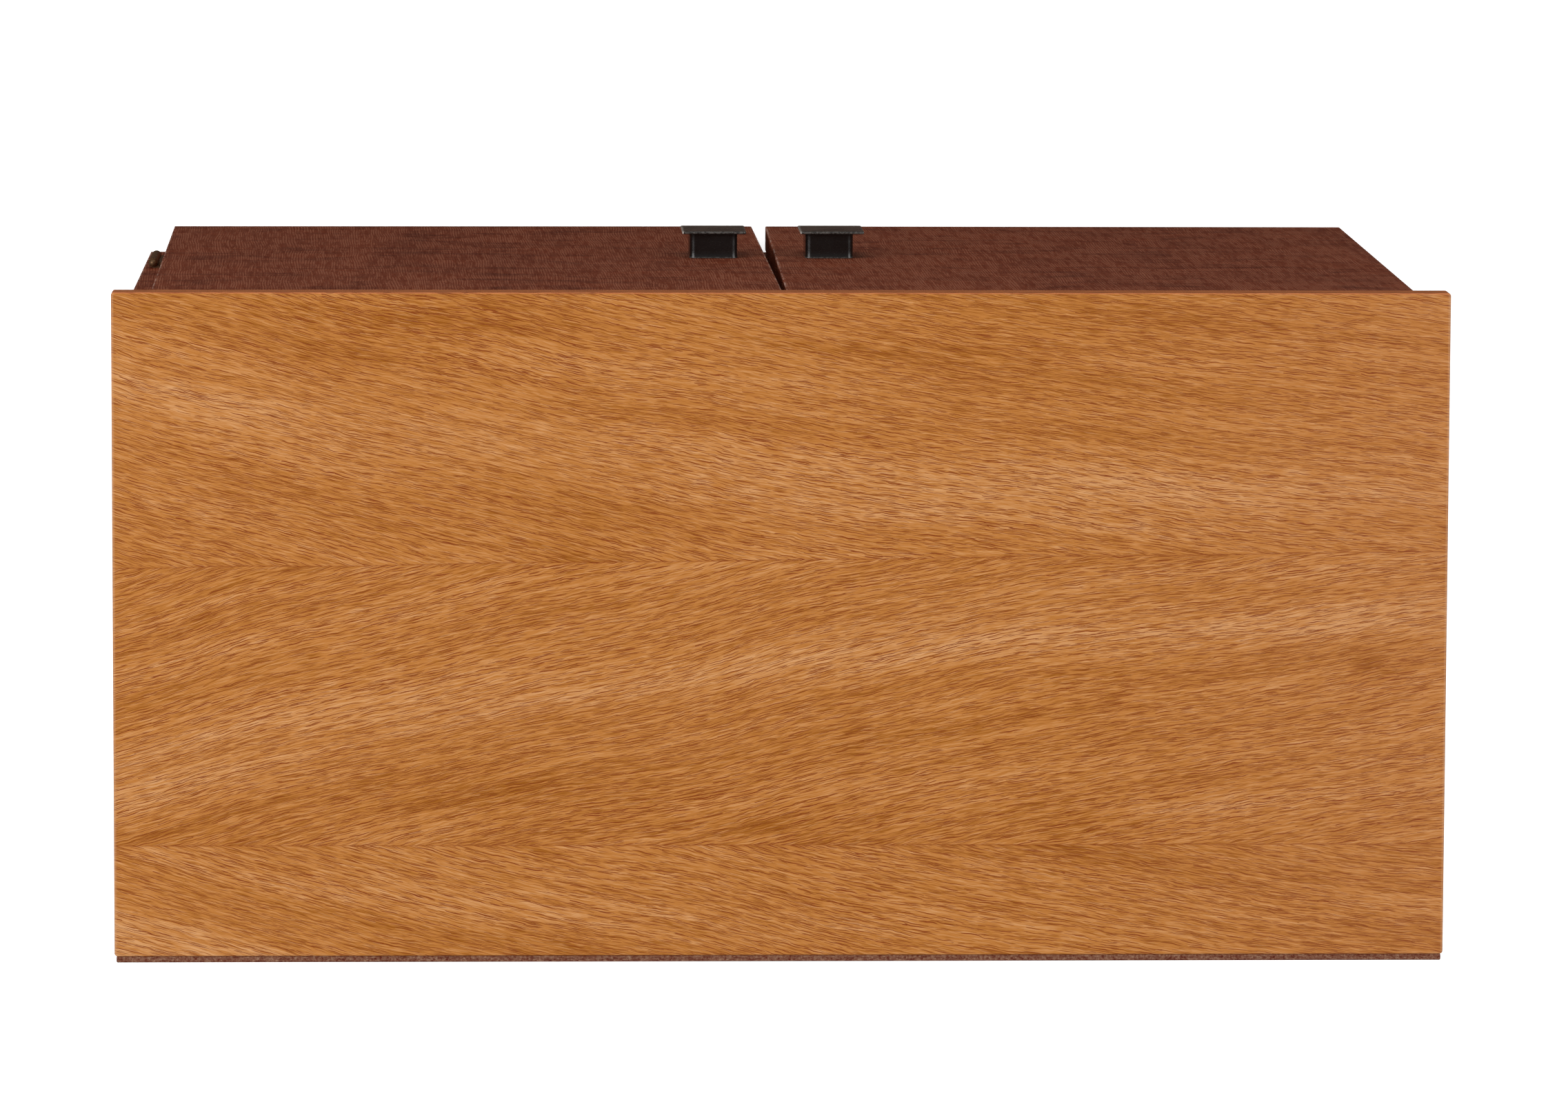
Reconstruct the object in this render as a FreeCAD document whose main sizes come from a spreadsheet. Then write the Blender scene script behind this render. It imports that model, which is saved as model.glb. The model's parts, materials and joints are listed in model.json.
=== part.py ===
import FreeCAD, Part
import os
import re

import Sketcher

# A printer's type-case cabinet in oak: an overhanging veneered top, two plain doors that meet on the
# centre line, and six shallow type cases on runners over an open bay.
#
# Frame: +Z up, the doors face -Y, and left and right are as seen by somebody facing the doors, so the
# left door is at -X. The origin is on the floor, at the centre of the footprint, handles included.
# Millimetres and degrees throughout.

SIZES = (
    # the top, and how far it stands out over the carcass and the doors
    ("top_width", 900),
    ("top_depth", 450),
    ("top_thickness", 22),
    ("top_corner", 2),
    ("top_ease", 1),
    ("lipping_depth", 4.4),
    ("lipping_inset", 1.3),
    ("lipping_drop", 0.5),
    ("overall_height", 620),
    ("side_overhang", 5),
    ("front_overhang", 1),
    ("back_overhang", 2),
    # the carcass
    ("board", 18),
    ("board_ease", 0.8),
    ("back_thickness", 6),
    ("back_rebate", 9),
    ("plinth_height", 50),
    ("plinth_front_setback", 25),
    ("plinth_side_setback", 15),
    # the doors: they hang shift to the right of centre and have each dropped by a small angle
    ("door_thickness", 18),
    ("door_width", 424.7),
    ("door_height", 545),
    ("door_top_gap", 2),
    ("door_back_gap", 1),
    ("door_half_gap", 3.3),
    ("door_shift", -2),
    ("door_drop_angle", 0.37),
    # the handles: a flat plate on a block-shaped stem
    ("handle_reach", 17.5),
    ("handle_from_edge", 37.5),
    ("handle_below_top", 309.6),
    ("stem_width", 34),
    ("stem_height", 44),
    ("stem_corner", 4.5),
    ("plate_width", 45),
    ("plate_height", 55),
    ("plate_thickness", 2.2),
    ("plate_corner", 1.2),
    ("plate_ease", 0.5),
    ("left_plate_offset", -1.9),
    ("right_plate_offset", -0.4),
    ("handle_screw_spacing", 24),
    ("handle_screw_radius", 2),
    ("handle_screw_head_radius", 4),
    ("handle_screw_head_height", 2.4),
    ("handle_screw_grip", 10),
    # the hinges: ball-tipped butt hinges whose barrels stand in front of the side panels' edges
    ("barrel_offset", 12.1),
    ("barrel_stand_off", 3.9),
    ("hinge_length", 64),
    ("hinge_from_end", 107),
    ("knuckle_radius", 3.4),
    ("knuckle_gap", 0.3),
    ("knuckle_notch", 3.8),
    ("leaf_thickness", 1.8),
    ("fixed_leaf_width", 9.2),
    ("door_leaf_width", 35),
    ("pin_radius", 1.5),
    ("pin_clearance", 0.05),
    ("ball_radius", 3.6),
    ("ball_neck_radius", 3),
    ("gain_clearance", 0.3),
    ("leaf_screw_radius", 1.3),
    ("leaf_screw_head_radius", 2.2),
    ("leaf_screw_length", 12),
    ("leaf_screw_inset", 11),
    ("fixed_screw_from_barrel", 5.9),
    ("door_screw_from_barrel", 26),
    # the magnetic catches under the top, and their strikes on the doors
    ("catch_length", 40),
    ("catch_depth", 12),
    ("catch_height", 12),
    ("catch_gap", 0.4),
    ("catch_from_edge", 12),
    ("strike_length", 20),
    ("strike_height", 12),
    ("strike_thickness", 1),
    ("strike_below_top", 6),
    # the type cases and their runners
    ("case_pitch", 62),
    ("case_lift", 4),
    ("case_width", 850),
    ("case_depth", 380),
    ("case_setback", 32),
    ("rail_height", 44),
    ("rail_thickness", 12),
    ("case_floor", 4),
    ("case_clearance", 0.3),
    ("divider_height", 30),
    ("divider_thickness", 3),
    ("runner_width", 12),
    ("runner_height", 12),
    ("runner_length", 400),
    ("runner_setback", 10),
    ("knob_reach", 12),
    ("knob_radius", 8),
    ("knob_foot_radius", 5),
    ("knob_neck_radius", 4),
    ("knob_face_radius", 6.5),
    ("knob_neck_reach", 3.6),
    ("knob_rim_start", 6.6),
    ("knob_rim_end", 9.6),
)

CASES = 6
# Each bay of a type case: its share of the width, and how many compartments it has from front to back.
BAYS = ((0.22, 3), (0.18, 4), (0.15, 4), (0.15, 5), (0.15, 5), (0.15, 6))
SIDES = (("left", -1), ("right", 1))

# Places that several pieces share, as expressions on the sheet.
TOP_FRONT = "(-(top_depth + lipping_depth - handle_reach - plate_thickness + front_overhang) / 2)"
DOOR_FACE = f"({TOP_FRONT} + front_overhang)"
DOOR_BACK = f"({DOOR_FACE} + door_thickness)"
FRONT = f"({DOOR_BACK} + door_back_gap)"
BACK = f"({TOP_FRONT} + top_depth - back_overhang)"
CEILING = "(overall_height - top_thickness)"
OUTSIDE = "(top_width / 2 - side_overhang)"
INSIDE = f"({OUTSIDE} - board)"
DOOR_MIDDLE = f"({CEILING} - door_top_gap - door_height / 2)"
DOOR_OUTER = "(door_half_gap + door_width)"
BARREL = f"({DOOR_OUTER} + barrel_offset)"
BARREL_Y = f"({FRONT} - barrel_stand_off)"
HANDLE_X = "(door_half_gap + handle_from_edge)"
HANDLE_Z = "(overall_height - handle_below_top)"
HINGE_LOWS = (
    f"({DOOR_MIDDLE} - door_height / 2 + hinge_from_end - hinge_length / 2)",
    f"({DOOR_MIDDLE} + door_height / 2 - hinge_from_end - hinge_length / 2)",
)
CASE_FRONT = f"({FRONT} + case_setback)"

doc = FreeCAD.newDocument("TypeCaseCabinet")
sheet = doc.addObject("Spreadsheet::Sheet", "Sizes")
for row, (alias, value) in enumerate(SIZES, 1):
    sheet.set(f"A{row}", alias)
    sheet.set(f"B{row}", str(value))
    sheet.setAlias(f"B{row}", alias)
doc.recompute()

nodes = []
made = {}


def bound(text):
    """The expression with every size written as a cell of the sheet."""
    names = {alias for alias, value in SIZES}
    return re.sub(r"[a-z_]+", lambda word: f"Sizes.{word[0]}" if word[0] in names else word[0], text)


def number(text):
    """The expression's value now."""
    return float(sheet.evalExpression(bound(text)))


def bind(thing, **sizes):
    for name, text in sizes.items():
        thing.setExpression(name, bound(str(text)))


def place(thing, x, y, z):
    for axis, text in zip("xyz", (x, y, z)):
        thing.setExpression(f"Placement.Base.{axis}", bound(str(text)))
    return thing


def new(kind, name):
    """A new object with a name of its own, numbered where the same piece comes again."""
    made[name] = made.get(name, 0) + 1
    return doc.addObject(kind, f"{name}_{made[name]}")


def node(thing, label):
    thing.Label = label
    nodes.append(thing)
    return thing


def outline(body, role, points):
    """A closed sketch of straight lines on one of the body's own origin planes."""
    sketch = body.newObject("Sketcher::SketchObject", f"{body.Name}_outline")
    plane = next(feature for feature in body.Origin.OriginFeatures if feature.Role == role)
    sketch.AttachmentSupport = [(plane, "")]
    sketch.MapMode = "FlatFace"
    places = [(number(across), number(up)) for across, up in points]
    for index, start in enumerate(places):
        end = places[(index + 1) % len(places)]
        sketch.addGeometry(Part.LineSegment(FreeCAD.Vector(*start), FreeCAD.Vector(*end)), False)
    for index in range(len(places)):
        sketch.addConstraint(Sketcher.Constraint("Coincident", index, 2, (index + 1) % len(places), 1))
    for index, corner in enumerate(points):
        for axis, text, value in zip("XY", corner, places[index]):
            added = sketch.addConstraint(Sketcher.Constraint(f"Distance{axis}", -1, 1, index, 1, value))
            sketch.renameConstraint(added, f"corner_{index}_{axis}")
            sketch.setExpression(f"Constraints.corner_{index}_{axis}", bound(text))
    return sketch


def prism(name, role, points, length):
    """A body: an outline padded by a length."""
    body = new("PartDesign::Body", name)
    pad = body.newObject("PartDesign::Pad", f"{body.Name}_pad")
    pad.Profile = outline(body, role, points)
    bind(pad, Length=length)
    doc.recompute()
    return body


def rectangle(width, height):
    return (("0", "0"), (width, "0"), (width, height), ("0", height))


def runs_along(edge, axis):
    """Whether a straight edge lies along one axis of its body, 0 for X, 1 for Y and 2 for Z."""
    if not isinstance(edge.Curve, Part.Line):
        return False
    return abs(abs(edge.Curve.Direction[axis]) - 1) < 1e-6


def ease(body, radius, axis=None):
    """Rounds a body's edges: those along one axis, or every edge that is still sharp."""
    feature = body.Tip
    names = []
    for index, edge in enumerate(feature.Shape.Edges, 1):
        if axis is not None and runs_along(edge, axis):
            names.append(f"Edge{index}")
        if axis is None:
            faces = feature.Shape.ancestorsOfType(edge, Part.Face)
            bends = [face.normalAt(*face.Surface.parameter(edge.CenterOfMass)) for face in faces]
            if len(bends) == 2 and abs(bends[0].dot(bends[1])) < 0.5:
                names.append(f"Edge{index}")
    fillet = body.newObject("PartDesign::Fillet", f"{body.Name}_ease")
    fillet.Base = (feature, names)
    bind(fillet, Radius=radius)
    doc.recompute()
    return body


def board(name, length, width, height, x, y, z):
    """A rectangular body with its lowest corner at x, y, z."""
    return place(prism(name, "XY_Plane", rectangle(length, width), height), x, y, z)


def block(name, length, width, height, x, y, z):
    """A plain box with its lowest corner at x, y, z."""
    thing = new("Part::Box", name)
    bind(thing, Length=length, Width=width, Height=height)
    return place(thing, x, y, z)


def rod(name, radius, height, x, y, z):
    """An upright cylinder with the centre of its lower end at x, y, z."""
    thing = new("Part::Cylinder", name)
    bind(thing, Radius=radius, Height=height)
    return place(thing, x, y, z)


def group(name, members):
    thing = new("Part::Compound", name)
    thing.Links = members
    return thing


def fuse(name, members):
    thing = new("Part::MultiFuse", name)
    thing.Shapes = members
    return thing


def cut(name, base, tools):
    """The base with every tool taken out of it."""
    thing = new("Part::Cut", name)
    thing.Base = base
    thing.Tool = tools[0] if len(tools) == 1 else group(f"{name}_tools", tools)
    return thing


def start(side, near, width):
    """The lowest X of a stretch that begins near from the doors' centre line and is width wide."""
    if side > 0:
        return f"door_shift + {near}"
    return f"door_shift - {near} - {width}"


def across(side, distance):
    """The X of a point that far from the doors' centre line."""
    return f"door_shift + {side} * {distance}"


def screw(name, radii, lengths, x, y, z, towards):
    """A screw along Y. radii are head rim, head root and shank; lengths are head and shank."""
    head = new("Part::Cone", f"{name}_head")
    bind(head, Radius1=radii[0], Radius2=radii[1], Height=lengths[0])
    shank = new("Part::Cylinder", f"{name}_shank")
    bind(shank, Radius=radii[2], Height=lengths[1])
    for thing, begin in ((head, "0"), (shank, lengths[0])):
        thing.Placement.Rotation = FreeCAD.Rotation(FreeCAD.Vector(1, 0, 0), -90 * towards)
        place(thing, x, f"{y} + {towards} * ({begin})", z)
    return fuse(name, [head, shank])


def make_top():
    """The veneered panel, and the lipping glued along its back edge."""
    top = board("top", "top_width", "top_depth", "top_thickness", "-top_width / 2", TOP_FRONT, CEILING)
    ease(top, "top_corner", axis=2)
    ease(top, "top_ease")
    node(top, "top")
    lipping = board("top_lipping", "top_width - 2 * lipping_inset", "lipping_depth", "top_thickness - lipping_drop",
                    "lipping_inset - top_width / 2", f"{TOP_FRONT} + top_depth", CEILING)
    node(ease(lipping, "top_ease"), "top_lipping")


def make_carcass(fixed_screws):
    """Two side panels with a rebate for the back, the bottom between them, the back and the plinth."""
    depth = f"({BACK} - {FRONT})"
    panel_height = f"{CEILING} - plinth_height"
    rebate = f"{depth} - back_thickness"
    for name, side in SIDES:
        inner, step, outer = ("0", "back_rebate", "board") if side > 0 else ("board", "board - back_rebate", "0")
        corners = ((inner, "0"), (outer, "0"), (outer, depth), (step, depth), (step, rebate), (inner, rebate))
        panel = prism(f"side_{name}_blank", "XY_Plane", corners, panel_height)
        place(panel, INSIDE if side > 0 else f"-{OUTSIDE}", FRONT, "plinth_height")
        node(cut(f"side_{name}", panel, fixed_screws[side]), f"side_{name}")
    bottom = board("bottom", f"2 * {INSIDE}", rebate, "board", f"-{INSIDE}", FRONT, "plinth_height")
    node(bottom, "bottom")
    reach = f"({INSIDE} + back_rebate)"
    back = board("back", f"2 * {reach}", "back_thickness", panel_height,
                 f"-{reach}", f"{BACK} - back_thickness", "plinth_height")
    node(back, "back")
    plinth_front = f"({FRONT} + plinth_front_setback)"
    plinth_back = f"({BACK} - plinth_side_setback)"
    half = f"({OUTSIDE} - plinth_side_setback)"
    rails = [board("plinth_rail", f"2 * {half}", "board", "plinth_height", f"-{half}", y, "0")
             for y in (plinth_front, f"{plinth_back} - board")]
    node(group("plinth_rails", rails), "plinth_rails")
    length = f"{plinth_back} - {plinth_front} - 2 * board"
    ends = [board("plinth_end", "board", length, "plinth_height", x, f"{plinth_front} + board", "0")
            for x in (f"-{half}", f"{half} - board")]
    node(group("plinth_ends", ends), "plinth_ends")


def hinge_screws(side):
    """The countersunk screws of one side's two hinges, into the side panel and into the door."""
    radii = ("leaf_screw_head_radius", "leaf_screw_radius", "leaf_screw_radius")
    lengths = ("leaf_thickness", "leaf_screw_length")
    fixed, moving = [], []
    for low in HINGE_LOWS:
        for z in (f"{low} + leaf_screw_inset", f"{low} + hinge_length - leaf_screw_inset"):
            x = across(side, f"({BARREL} - fixed_screw_from_barrel)")
            fixed.append(screw("fixed_leaf_screw", radii, lengths, x, f"{FRONT} - leaf_thickness", z, 1))
            x = across(side, f"({BARREL} - door_screw_from_barrel)")
            moving.append(screw("door_leaf_screw", radii, lengths, x, f"{BARREL_Y} + leaf_thickness", z, -1))
    return fixed, moving


def leaf(name, side, low, width, y, knuckles, bore, screws):
    """One hinge leaf: a plate that ends at the barrel, notched beside the other leaf's knuckles."""
    third = "hinge_length / 3"
    plate = block(f"{name}_plate", width, "leaf_thickness", "hinge_length",
                  start(side, f"({BARREL} - {width})", width), y, low)
    barrel = across(side, BARREL)
    rolls = []
    notches = []
    for index in range(3):
        z = f"{low} + {index} * {third}"
        if index in knuckles:
            gap = "knuckle_gap" if len(knuckles) > 1 else "0"
            lift = gap if index == 2 else "0"
            rolls.append(rod(f"{name}_roll", "knuckle_radius", f"{third} - {gap}", barrel, BARREL_Y, f"{z} + {lift}"))
        else:
            notches.append(block(f"{name}_notch", "2 * knuckle_notch", "2 * barrel_stand_off", third,
                                 start(side, f"({BARREL} - knuckle_notch)", "2 * knuckle_notch"),
                                 f"{BARREL_Y} - barrel_stand_off", z))
    notched = cut(f"{name}_notched", plate, notches)
    rolled = fuse(f"{name}_rolled", [notched, *rolls])
    hole = rod(f"{name}_bore", bore, "hinge_length", barrel, BARREL_Y, low)
    return cut(name, rolled, [hole, *screws])


def hinge_pin(name, side, low):
    """A pin with a ball on each end, turned in one piece."""
    body = new("PartDesign::Body", name)
    sketch = body.newObject("Sketcher::SketchObject", f"{body.Name}_outline")
    plane = next(feature for feature in body.Origin.OriginFeatures if feature.Role == "XZ_Plane")
    sketch.AttachmentSupport = [(plane, "")]
    sketch.MapMode = "FlatFace"
    ball, neck, pin = number("ball_radius"), number("ball_neck_radius"), number("pin_radius")
    length = number("hinge_length")
    lift = (ball**2 - neck**2) ** 0.5
    vector = FreeCAD.Vector
    upper, lower = length + lift, -lift
    low_tip, high_tip = vector(0, lower - ball), vector(0, upper + ball)
    low_ball = Part.Arc(low_tip, vector(ball, lower), vector(neck, 0))
    high_ball = Part.Arc(vector(neck, length), vector(ball, upper), high_tip)
    corners = (vector(neck, 0), vector(pin, 0), vector(pin, length), vector(neck, length))
    lines = [Part.LineSegment(a, b) for a, b in zip(corners, corners[1:])]
    sketch.addGeometry([low_ball, *lines, high_ball, Part.LineSegment(high_tip, low_tip)], False)
    for index in range(6):
        sketch.addConstraint(Sketcher.Constraint("Block", index))
    turn = body.newObject("PartDesign::Revolution", f"{body.Name}_turn")
    turn.Profile = sketch
    turn.ReferenceAxis = (sketch, ["V_Axis"])
    turn.Angle = 360
    doc.recompute()
    return place(body, across(side, BARREL), BARREL_Y, low)


def make_hinges(name, side, fixed, moving):
    for place_name, low, index in (("lower", HINGE_LOWS[0], 0), ("upper", HINGE_LOWS[1], 2)):
        piece = leaf(f"hinge_{name}_{place_name}_fixed", side, low, "fixed_leaf_width",
                     f"{FRONT} - leaf_thickness", (0, 2), "pin_radius", fixed[index:index + 2])
        node(piece, f"hinge_{name}_{place_name}_fixed")
        piece = leaf(f"hinge_{name}_{place_name}_door", side, low, "door_leaf_width",
                     BARREL_Y, (1,), "pin_radius + pin_clearance", moving[index:index + 2])
        node(piece, f"hinge_{name}_{place_name}_door")
    pins = [hinge_pin(f"hinge_{name}_pin", side, low) for low in HINGE_LOWS]
    node(group(f"hinge_{name}_pins", pins), f"hinge_{name}_pins")
    node(group(f"hinge_{name}_door_screws", moving), f"hinge_{name}_door_screws")


def make_handle(name, side):
    """A handle's stem and plate, and the two screws that hold it from behind the door."""
    radii = ("handle_screw_head_radius", "handle_screw_head_radius", "handle_screw_radius")
    lengths = ("handle_screw_head_height", "door_thickness + handle_screw_grip")
    screws = [screw(f"handle_{name}_screw", radii, lengths, across(side, HANDLE_X),
                    f"{DOOR_BACK} + handle_screw_head_height",
                    f"{HANDLE_Z} + {end} * handle_screw_spacing / 2", -1) for end in (-1, 1)]
    stem = prism(f"handle_{name}_stem_blank", "XZ_Plane", rectangle("stem_width", "stem_height"), "handle_reach")
    ease(stem, "stem_corner", axis=1)
    place(stem, f"{across(side, HANDLE_X)} - stem_width / 2", DOOR_FACE, f"{HANDLE_Z} - stem_height / 2")
    node(cut(f"handle_{name}_stem", stem, screws), f"handle_{name}_stem")
    plate = prism(f"handle_{name}_plate", "XZ_Plane", rectangle("plate_width", "plate_height"), "plate_thickness")
    ease(plate, "plate_corner", axis=1)
    ease(plate, "plate_ease")
    place(plate, f"{across(side, HANDLE_X)} + {name}_plate_offset - plate_width / 2",
          f"{DOOR_FACE} - handle_reach", f"{HANDLE_Z} - plate_height / 2")
    node(plate, f"handle_{name}_plate")
    node(group(f"handle_{name}_screws", screws), f"handle_{name}_screws")
    return screws


def make_door(name, side, leaf_screws, handle_screws):
    """A door turned by the drop angle about the middle of its hinge edge, with gains for the leaves."""
    inner, outer = ("-door_width", "0") if side > 0 else ("door_width", "0")
    half = "door_height / 2"
    corners = ((inner, f"-{half}"), (outer, f"-{half}"), (outer, half), (inner, half))
    blank = prism(f"door_{name}_blank", "XZ_Plane", corners, "door_thickness")
    ease(blank, "board_ease")
    blank.Placement.Rotation = FreeCAD.Rotation(FreeCAD.Vector(0, -side, 0), number("door_drop_angle"))
    bind(blank, **{"Placement.Rotation.Angle": "door_drop_angle"})
    place(blank, across(side, DOOR_OUTER), DOOR_BACK, DOOR_MIDDLE)
    width = "door_leaf_width + gain_clearance"
    gains = [block(f"door_{name}_gain", width, "2 * barrel_stand_off", "hinge_length + 2 * gain_clearance",
                   start(side, f"({BARREL} - door_leaf_width - gain_clearance)", f"({width})"),
                   BARREL_Y, f"{low} - gain_clearance") for low in HINGE_LOWS]
    node(cut(f"door_{name}", blank, [*gains, *leaf_screws, *handle_screws]), f"door_{name}")


def make_catch(name, side):
    near = "(door_half_gap + catch_from_edge)"
    catch = board(f"catch_{name}", "catch_length", "catch_depth", "catch_height",
                  start(side, near, "catch_length"), f"{FRONT} + catch_gap", f"{CEILING} - catch_height")
    node(ease(catch, "board_ease", axis=2), f"catch_{name}")
    near = f"({near} + (catch_length - strike_length) / 2)"
    strike = board(f"strike_{name}", "strike_length", "strike_thickness", "strike_height",
                   start(side, near, "strike_length"), DOOR_BACK, f"{CEILING} - strike_below_top - strike_height")
    node(strike, f"strike_{name}")


def runner_top(level):
    return f"({CEILING} - {level} * case_pitch + case_lift)"


def make_runners():
    for name, side in SIDES:
        x = f"{INSIDE} - runner_width" if side > 0 else f"-{INSIDE}"
        runners = [board(f"runner_{name}", "runner_width", "runner_length", "runner_height",
                         x, f"{FRONT} + runner_setback", f"{runner_top(level)} - runner_height")
                   for level in range(1, CASES + 1)]
        node(group(f"runners_{name}", runners), f"runners_{name}")


def make_dividers(level, floor_top):
    """Slats that split a case into bays from side to side, and each bay into compartments."""
    left = "(-case_width / 2 + rail_thickness)"
    room = f"(case_width - 2 * rail_thickness - {len(BAYS) - 1} * divider_thickness)"
    front = f"({CASE_FRONT} + rail_thickness)"
    depth = "(case_depth - 2 * rail_thickness)"
    slats = []
    shares = 0
    for bay, (share, rows) in enumerate(BAYS):
        x = f"{left} + {shares:.2f} * {room} + {bay} * divider_thickness"
        width = f"{share} * {room}"
        for step in range(1, rows):
            y = f"{front} + {step} * ({depth} + divider_thickness) / {rows} - divider_thickness"
            slats.append(block("cross_slat", width, "divider_thickness", "divider_height", x, y, floor_top))
        if bay < len(BAYS) - 1:
            slats.append(block("long_slat", "divider_thickness", depth, "divider_height",
                               f"{x} + {width}", front, floor_top))
        shares += share
    node(group(f"case_{level}_dividers", slats), f"case_{level}_dividers")


def make_knob(level, z):
    """A turned knob on the front rail: a neck that opens into a flat-domed head."""
    body = new("PartDesign::Body", f"case_{level}_knob")
    points = (("0", "0"), ("knob_foot_radius", "0"), ("knob_neck_radius", "-knob_neck_reach"),
              ("knob_radius", "-knob_rim_start"), ("knob_radius", "-knob_rim_end"),
              ("knob_face_radius", "-knob_reach"), ("0", "-knob_reach"))
    turn = body.newObject("PartDesign::Revolution", f"{body.Name}_turn")
    turn.Profile = outline(body, "XY_Plane", points)
    turn.ReferenceAxis = (turn.Profile[0], ["V_Axis"])
    turn.Angle = 360
    doc.recompute()
    node(place(body, "0", CASE_FRONT, z), f"case_{level}_knob")


def make_case(level):
    """A type case: four rails, a thin floor under them, the slats and a knob."""
    low = f"({runner_top(level)} + case_clearance)"
    floor_top = f"({low} + case_floor)"
    left = "-case_width / 2"
    rails = []
    for y in (CASE_FRONT, f"{CASE_FRONT} + case_depth - rail_thickness"):
        rail = board(f"case_{level}_rail", "case_width", "rail_thickness", "rail_height", left, y, floor_top)
        rails.append(ease(rail, "board_ease"))
    for x in (left, "case_width / 2 - rail_thickness"):
        rails.append(board(f"case_{level}_end", "rail_thickness", "case_depth - 2 * rail_thickness",
                           "rail_height", x, f"{CASE_FRONT} + rail_thickness", floor_top))
    node(group(f"case_{level}_frame", rails), f"case_{level}_frame")
    floor = board(f"case_{level}_floor", "case_width", "case_depth", "case_floor", left, CASE_FRONT, low)
    node(floor, f"case_{level}_floor")
    make_dividers(level, floor_top)
    make_knob(level, f"{floor_top} + rail_height / 2")


def check():
    """Stops the build if any object failed or any sub-part has no sound shape."""
    for thing in doc.Objects:
        if {"Invalid", "Error"} & set(thing.State):
            raise RuntimeError(f"{thing.Name} failed: {thing.State}")
    for thing in nodes:
        if thing.Shape.isNull() or not thing.Shape.isValid() or not thing.Shape.Solids:
            raise RuntimeError(f"{thing.Label} has no sound shape")


make_top()
screws = {side: hinge_screws(side) for name, side in SIDES}
make_carcass({side: fixed for side, (fixed, moving) in screws.items()})
for door_name, door_side in SIDES:
    fixed_set, moving_set = screws[door_side]
    make_hinges(door_name, door_side, fixed_set, moving_set)
    make_door(door_name, door_side, moving_set, make_handle(door_name, door_side))
    make_catch(door_name, door_side)
node(group("hinge_side_screws", screws[-1][0] + screws[1][0]), "hinge_side_screws")
make_runners()
for case_level in range(1, CASES + 1):
    make_case(case_level)
doc.recompute()
check()

os.makedirs("parts", exist_ok=True)
for sub_part in nodes:
    sub_part.Shape.exportStep(f"parts/{sub_part.Label}.step")
print(f"{len(nodes)} sub-parts written")
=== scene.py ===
"""A printer's type-case cabinet: book-matched oak top, stained oak doors and sides, type cases inside.

Metres, +Z up, the doors face -Y. Left is -X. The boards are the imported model's own nodes with wood
finishes; handles, hinge pins, screws, knobs and back-panel pins are surfaces worked out here.
"""
import json
import math

import bmesh
import bpy
import numpy as np
from bpy.props import FloatProperty, FloatVectorProperty, IntProperty, PointerProperty
from mathutils import Matrix, Vector


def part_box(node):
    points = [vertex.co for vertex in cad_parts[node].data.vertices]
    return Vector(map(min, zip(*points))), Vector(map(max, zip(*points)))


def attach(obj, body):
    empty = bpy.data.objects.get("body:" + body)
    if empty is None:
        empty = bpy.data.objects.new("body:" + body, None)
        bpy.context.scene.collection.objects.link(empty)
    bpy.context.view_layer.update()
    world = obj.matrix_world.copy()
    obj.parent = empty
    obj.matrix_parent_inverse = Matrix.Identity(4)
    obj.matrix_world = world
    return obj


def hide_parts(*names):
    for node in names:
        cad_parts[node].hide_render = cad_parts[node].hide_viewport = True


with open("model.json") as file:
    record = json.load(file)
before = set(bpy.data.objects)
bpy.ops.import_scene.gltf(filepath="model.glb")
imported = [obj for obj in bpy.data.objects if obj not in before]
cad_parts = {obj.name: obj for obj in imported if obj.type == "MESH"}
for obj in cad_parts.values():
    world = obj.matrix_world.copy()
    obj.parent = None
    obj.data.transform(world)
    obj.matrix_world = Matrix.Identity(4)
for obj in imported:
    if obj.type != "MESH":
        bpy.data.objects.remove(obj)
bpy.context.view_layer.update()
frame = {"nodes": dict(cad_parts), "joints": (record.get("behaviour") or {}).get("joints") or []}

bl_info = {
    "name": "Type-case cabinet",
    "version": (1, 0, 0),
    "blender": (4, 5, 0),
    "location": "3D View > Sidebar > Cabinet",
    "description": "Finishes and small fittings of a printer's type-case cabinet",
    "category": "Object",
}

SIDES = (("left", -1), ("right", 1))
CASES = tuple(range(1, 7))
TOP_LOW, TOP_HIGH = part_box("top")


def tint(red, green, blue):
    """A colour given as it looks on a screen, 0 to 255, as the linear values that shaders use."""
    shares = np.array((red, green, blue)) / 255
    linear = np.where(shares <= 0.04045, shares / 12.92, ((shares + 0.055) / 1.055) ** 2.4)
    return (*linear.tolist(), 1.0)


def colour(name, description, *rgb):
    return FloatVectorProperty(name=name, description=description, default=tint(*rgb), size=4,
                               subtype="COLOR", min=0.0, max=1.0)


def length(name, description, default):
    return FloatProperty(name=name, description=description, default=default, min=0.0, unit="LENGTH",
                         precision=5)


class CabinetShape(bpy.types.PropertyGroup):
    """Sizes of the small fittings."""

    stem_flare: length("Stem flare", "How far the stem widens into the door and into the plate", 0.0002)
    plate_bevel: length("Plate bevel", "Width of the bevel round the handle plate", 0.0016)
    plate_crown: length("Plate crown", "Height of the plate's middle over its bevel", 0.0003)
    slot_width: length("Screw slot", "Width of a hinge screw's slot", 0.0007)
    pin_head: length("Panel pin head", "Radius of a back-panel pin's head", 0.0016)
    pin_pitch: length("Panel pin pitch", "Distance between back-panel pins", 0.075)
    around: IntProperty(name="Facets around", description="Facets round a turned piece", default=56, min=16)


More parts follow.
